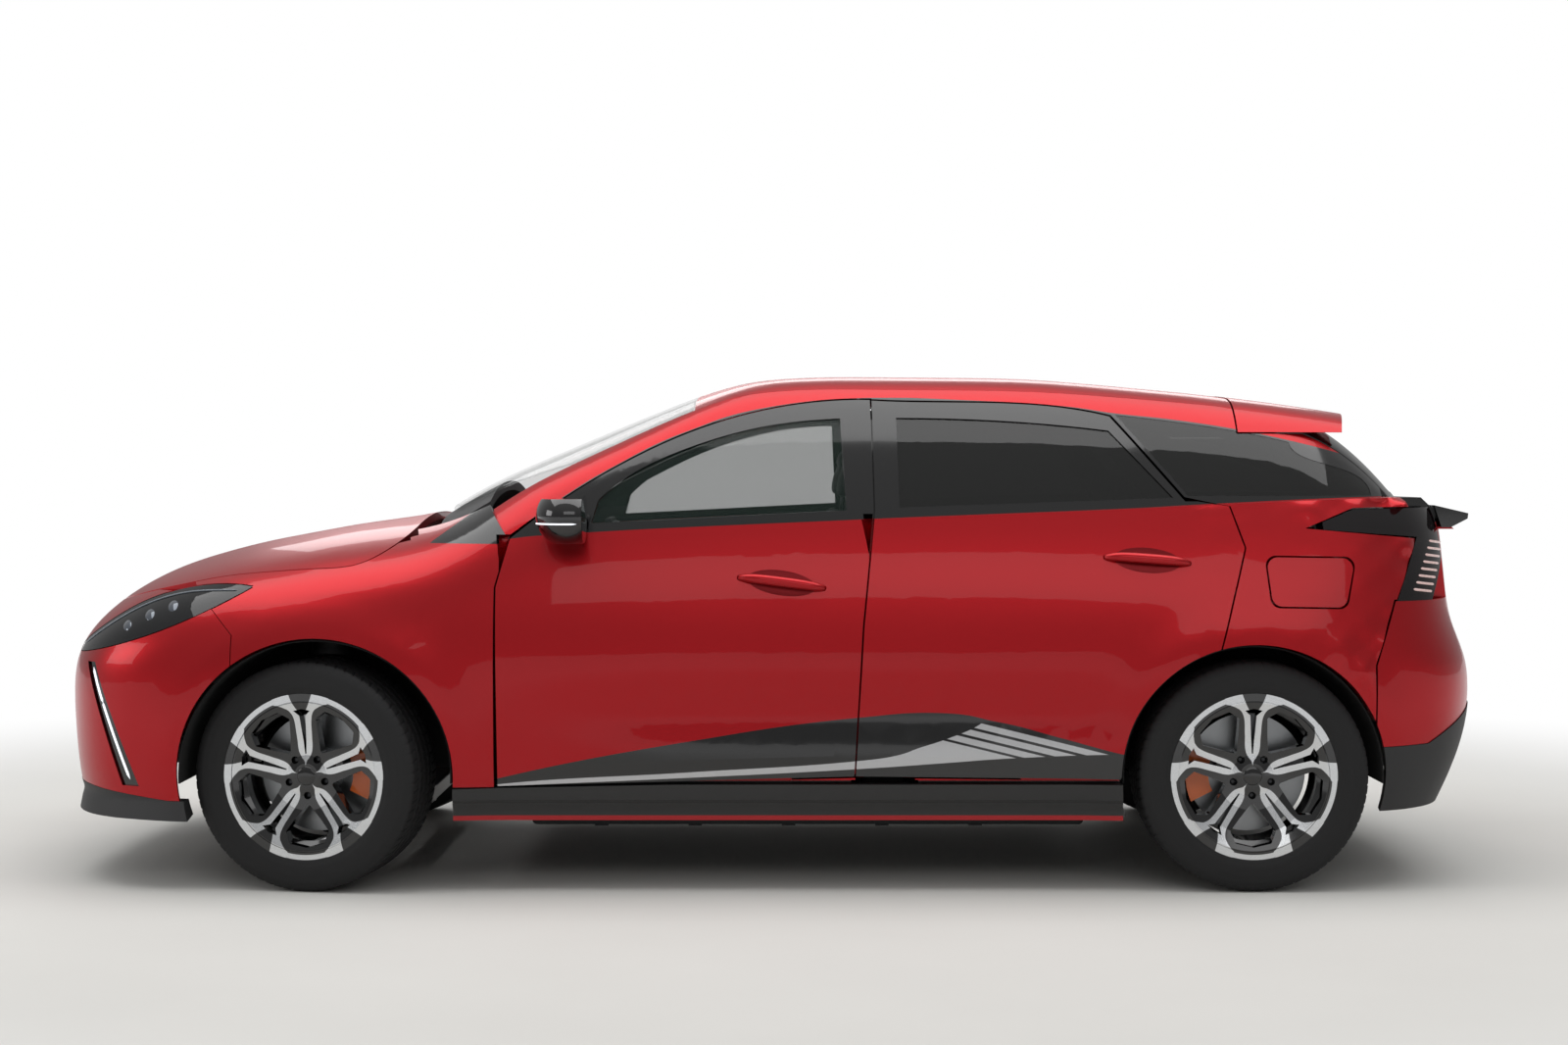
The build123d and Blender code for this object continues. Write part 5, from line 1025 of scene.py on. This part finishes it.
def front_seat(side, y):
    """Cushion, back and head restraint, two bolsters each, posts, rails and base."""
    x = SEAT_X
    parts = [
        soft(f"seat_cushion_{side}",
             pad_grid((x + 45, y, 515), (235, 180, 66), -4, (-75, 75), (-60, 60)), cloth),
        soft(f"seat_back_{side}",
             pad_grid((x - 250, y, 812), (50, 170, 285), -19.5, (-70, 70), (-90, 60)), cloth),
        soft(f"head_restraint_{side}",
             pad_grid((x - 370, y, 1205), (40, 118, 76), -12, (), (20,)), side_cloth),
    ]
    for hand, word in ((1, "inner"), (-1, "outer")):
        parts.append(soft(f"cushion_bolster_{side}_{word}",
                          pad_grid((x + 35, y + hand * 203, 530), (215, 38, 62), -4), side_cloth))
        parts.append(soft(f"back_bolster_{side}_{word}",
                          pad_grid((x - 228, y + hand * 196, 790), (58, 36, 250), -19.5), side_cloth))
        post = tube([(x - 352, y + hand * 60, 1060), (x - 357, y + hand * 60, 1110),
                     (x - 362, y + hand * 60, 1160)], 6.5, 12)
        parts.append(sheet(f"seat_post_{side}_{word}", capped(post), bolt_steel, "body", close_v=True))
        beside = y + hand * 195
        rail = tube([(x - 150, beside, 340), (x, beside, 340), (x + 220, beside, 340)], 17, 12)
        parts.append(sheet(f"seat_rail_{side}_{word}", capped(rail), dark_steel, "body", close_v=True))
    base = pad_grid((x + 35, y, 425), (215, 200, 82), 0, valley=0)
    parts.append(sheet(f"seat_base_{side}", base, soft_trim, "body", close_u=True))
    return parts


seats = front_seat("left", SEAT_Y) + front_seat("right", -SEAT_Y)
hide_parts("front_seats")
print(len(seats), "front seat pieces")

# %% Rear bench
BENCH_X = ra(560)
bench = [
    soft("bench_cushion",
         pad_grid((BENCH_X + 100, 0, 512), (225, 590, 76), -3, (-400, -195, 195, 400), (60,)), cloth),
    soft("bench_back",
         pad_grid((BENCH_X - 188, 0, 842), (52, 496, 262), -21, (-330, -165, 165, 330), (40,)), cloth),
]
for i, y in enumerate((-340, 0, 340)):
    bench.append(soft(f"bench_head_restraint_{i + 1}",
                      pad_grid((BENCH_X - 280, y, 1146), (34, 98, 50), -12), side_cloth))
bench_base = pad_grid((BENCH_X + 80, 0, 400), (210, 555, 74), 0, valley=0)
bench.append(sheet("bench_base", bench_base, soft_trim, "body", close_u=True))
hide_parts("rear_bench")
print(len(bench), "bench pieces")

# %% [markdown]
# ## Floor, light and camera
# A pale floor runs off into a white world. One very large soft panel hangs over the
# car and two stand beside it, so the clear coat has long bright shapes to mirror.

# %% Floor and world
def floor_finish():
    """Pale screed that fades to plain white a few metres out, for rays that see it directly."""
    mat, surface, place = finish_of("Pale studio floor", "#d2d1cd", Roughness=0.75)
    noise = add(mat, "TexNoise", Vector=place, Scale=1.5, Detail=3.0).outputs[0]
    link(mat, blend(mat, noise, "#cfceca", "#d6d5d1"), surface, "Base Color")
    away = add(mat, "VectorMath", {"operation": "LENGTH"}, i0=place).outputs["Value"]
    fade = add(mat, "MapRange", {"interpolation_type": "SMOOTHSTEP"}, i0=away, i1=2.6, i2=5.5).outputs[0]
    rays = add(mat, "LightPath").outputs
    seen = either(mat, rays["Is Camera Ray"], rays["Is Transmission Ray"], rays["Is Glossy Ray"])
    white = add(mat, "Emission", Color=(1, 1, 1, 1), Strength=1.0)
    both_ways = add(mat, "MixShader", i0=both(mat, fade, seen), i1=surface.outputs[0],
                    i2=white.outputs[0])
    output = next(n for n in mat.node_tree.nodes if n.type == "OUTPUT_MATERIAL")
    mat.node_tree.links.new(both_ways.outputs[0], output.inputs[0])
    return mat


far = 60000.0
across_x, across_y = np.meshgrid(np.linspace(-far, far, 3), np.linspace(-far, far, 3), indexing="ij")
floor = sheet("studio_floor", np.stack([across_x, across_y, 0 * across_x], axis=-1), floor_finish())

world = bpy.data.worlds.new("Studio white")
world.use_nodes = True
bpy.context.scene.world = world
tree = world.node_tree
tree.nodes.clear()
rays = tree.nodes.new("ShaderNodeLightPath")
seen = tree.nodes.new("ShaderNodeMath")
seen.operation = "MAXIMUM"
tree.links.new(rays.outputs["Is Camera Ray"], seen.inputs[0])
tree.links.new(rays.outputs["Is Transmission Ray"], seen.inputs[1])
height = tree.nodes.new("ShaderNodeSeparateXYZ")
tree.links.new(tree.nodes.new("ShaderNodeTexCoord").outputs["Generated"], height.inputs[0])
walls = tree.nodes.new("ShaderNodeMapRange")
walls.inputs[3].default_value, walls.inputs[4].default_value = 0.30, 0.62
tree.links.new(height.outputs["Z"], walls.inputs[0])
strength = tree.nodes.new("ShaderNodeMapRange")
tree.links.new(walls.outputs[0], strength.inputs[3])
strength.inputs[4].default_value = 1.0
back = tree.nodes.new("ShaderNodeBackground")
back.inputs[0].default_value = (1, 1, 1, 1)
out = tree.nodes.new("ShaderNodeOutputWorld")
tree.links.new(seen.outputs[0], strength.inputs[0])
tree.links.new(strength.outputs[0], back.inputs[1])
tree.links.new(back.outputs[0], out.inputs[0])
print("floor at z = 0, dim walls and a brighter ceiling for light, white for the view")


# %% Light panels
def panel(name, place, aim, size, power):
    """Rectangular area light that faces a point."""
    lamp = bpy.data.lights.new(name, "AREA")
    lamp.shape = "RECTANGLE"
    lamp.size, lamp.size_y = size
    lamp.energy = power
    holder = bpy.data.objects.new(name, lamp)
    bpy.context.collection.objects.link(holder)
    holder.location = place
    holder.rotation_euler = (Vector(aim) - Vector(place)).to_track_quat("-Z", "Y").to_euler()
    return holder


panel("Ceiling panel", (0, 0.5, 5.2), (0, 0, 0), (9, 4), 260)
panel("Side panel", (-1.5, 6.5, 3.4), (0, 0, 0.7), (6, 1.6), 45)
panel("Far side panel", (0, -6.5, 3.6), (0, 0, 0.7), (7, 1.8), 100)
panel("Front panel", (7, 2.0, 2.6), (0, 0, 0.7), (3, 2), 60)

# %% [markdown]
# The camera stands square to the left side, a little below the mirrors, as a person with a short
# telephoto lens would stand to show the whole side.

# %% Camera
cam = bpy.data.cameras.new("Side camera")
cam.sensor_width, cam.lens = 36.0, 55.7
camera = bpy.data.objects.new("Side camera", cam)
bpy.context.collection.objects.link(camera)
camera.location = (-0.05, 7.85, 1.221)
camera.rotation_euler = (math.radians(90 - 1.27), 0, math.pi)
bpy.context.scene.camera = camera
scene = bpy.context.scene
scene.view_settings.view_transform = "Standard"
print("camera", tuple(camera.location), "lens", cam.lens)
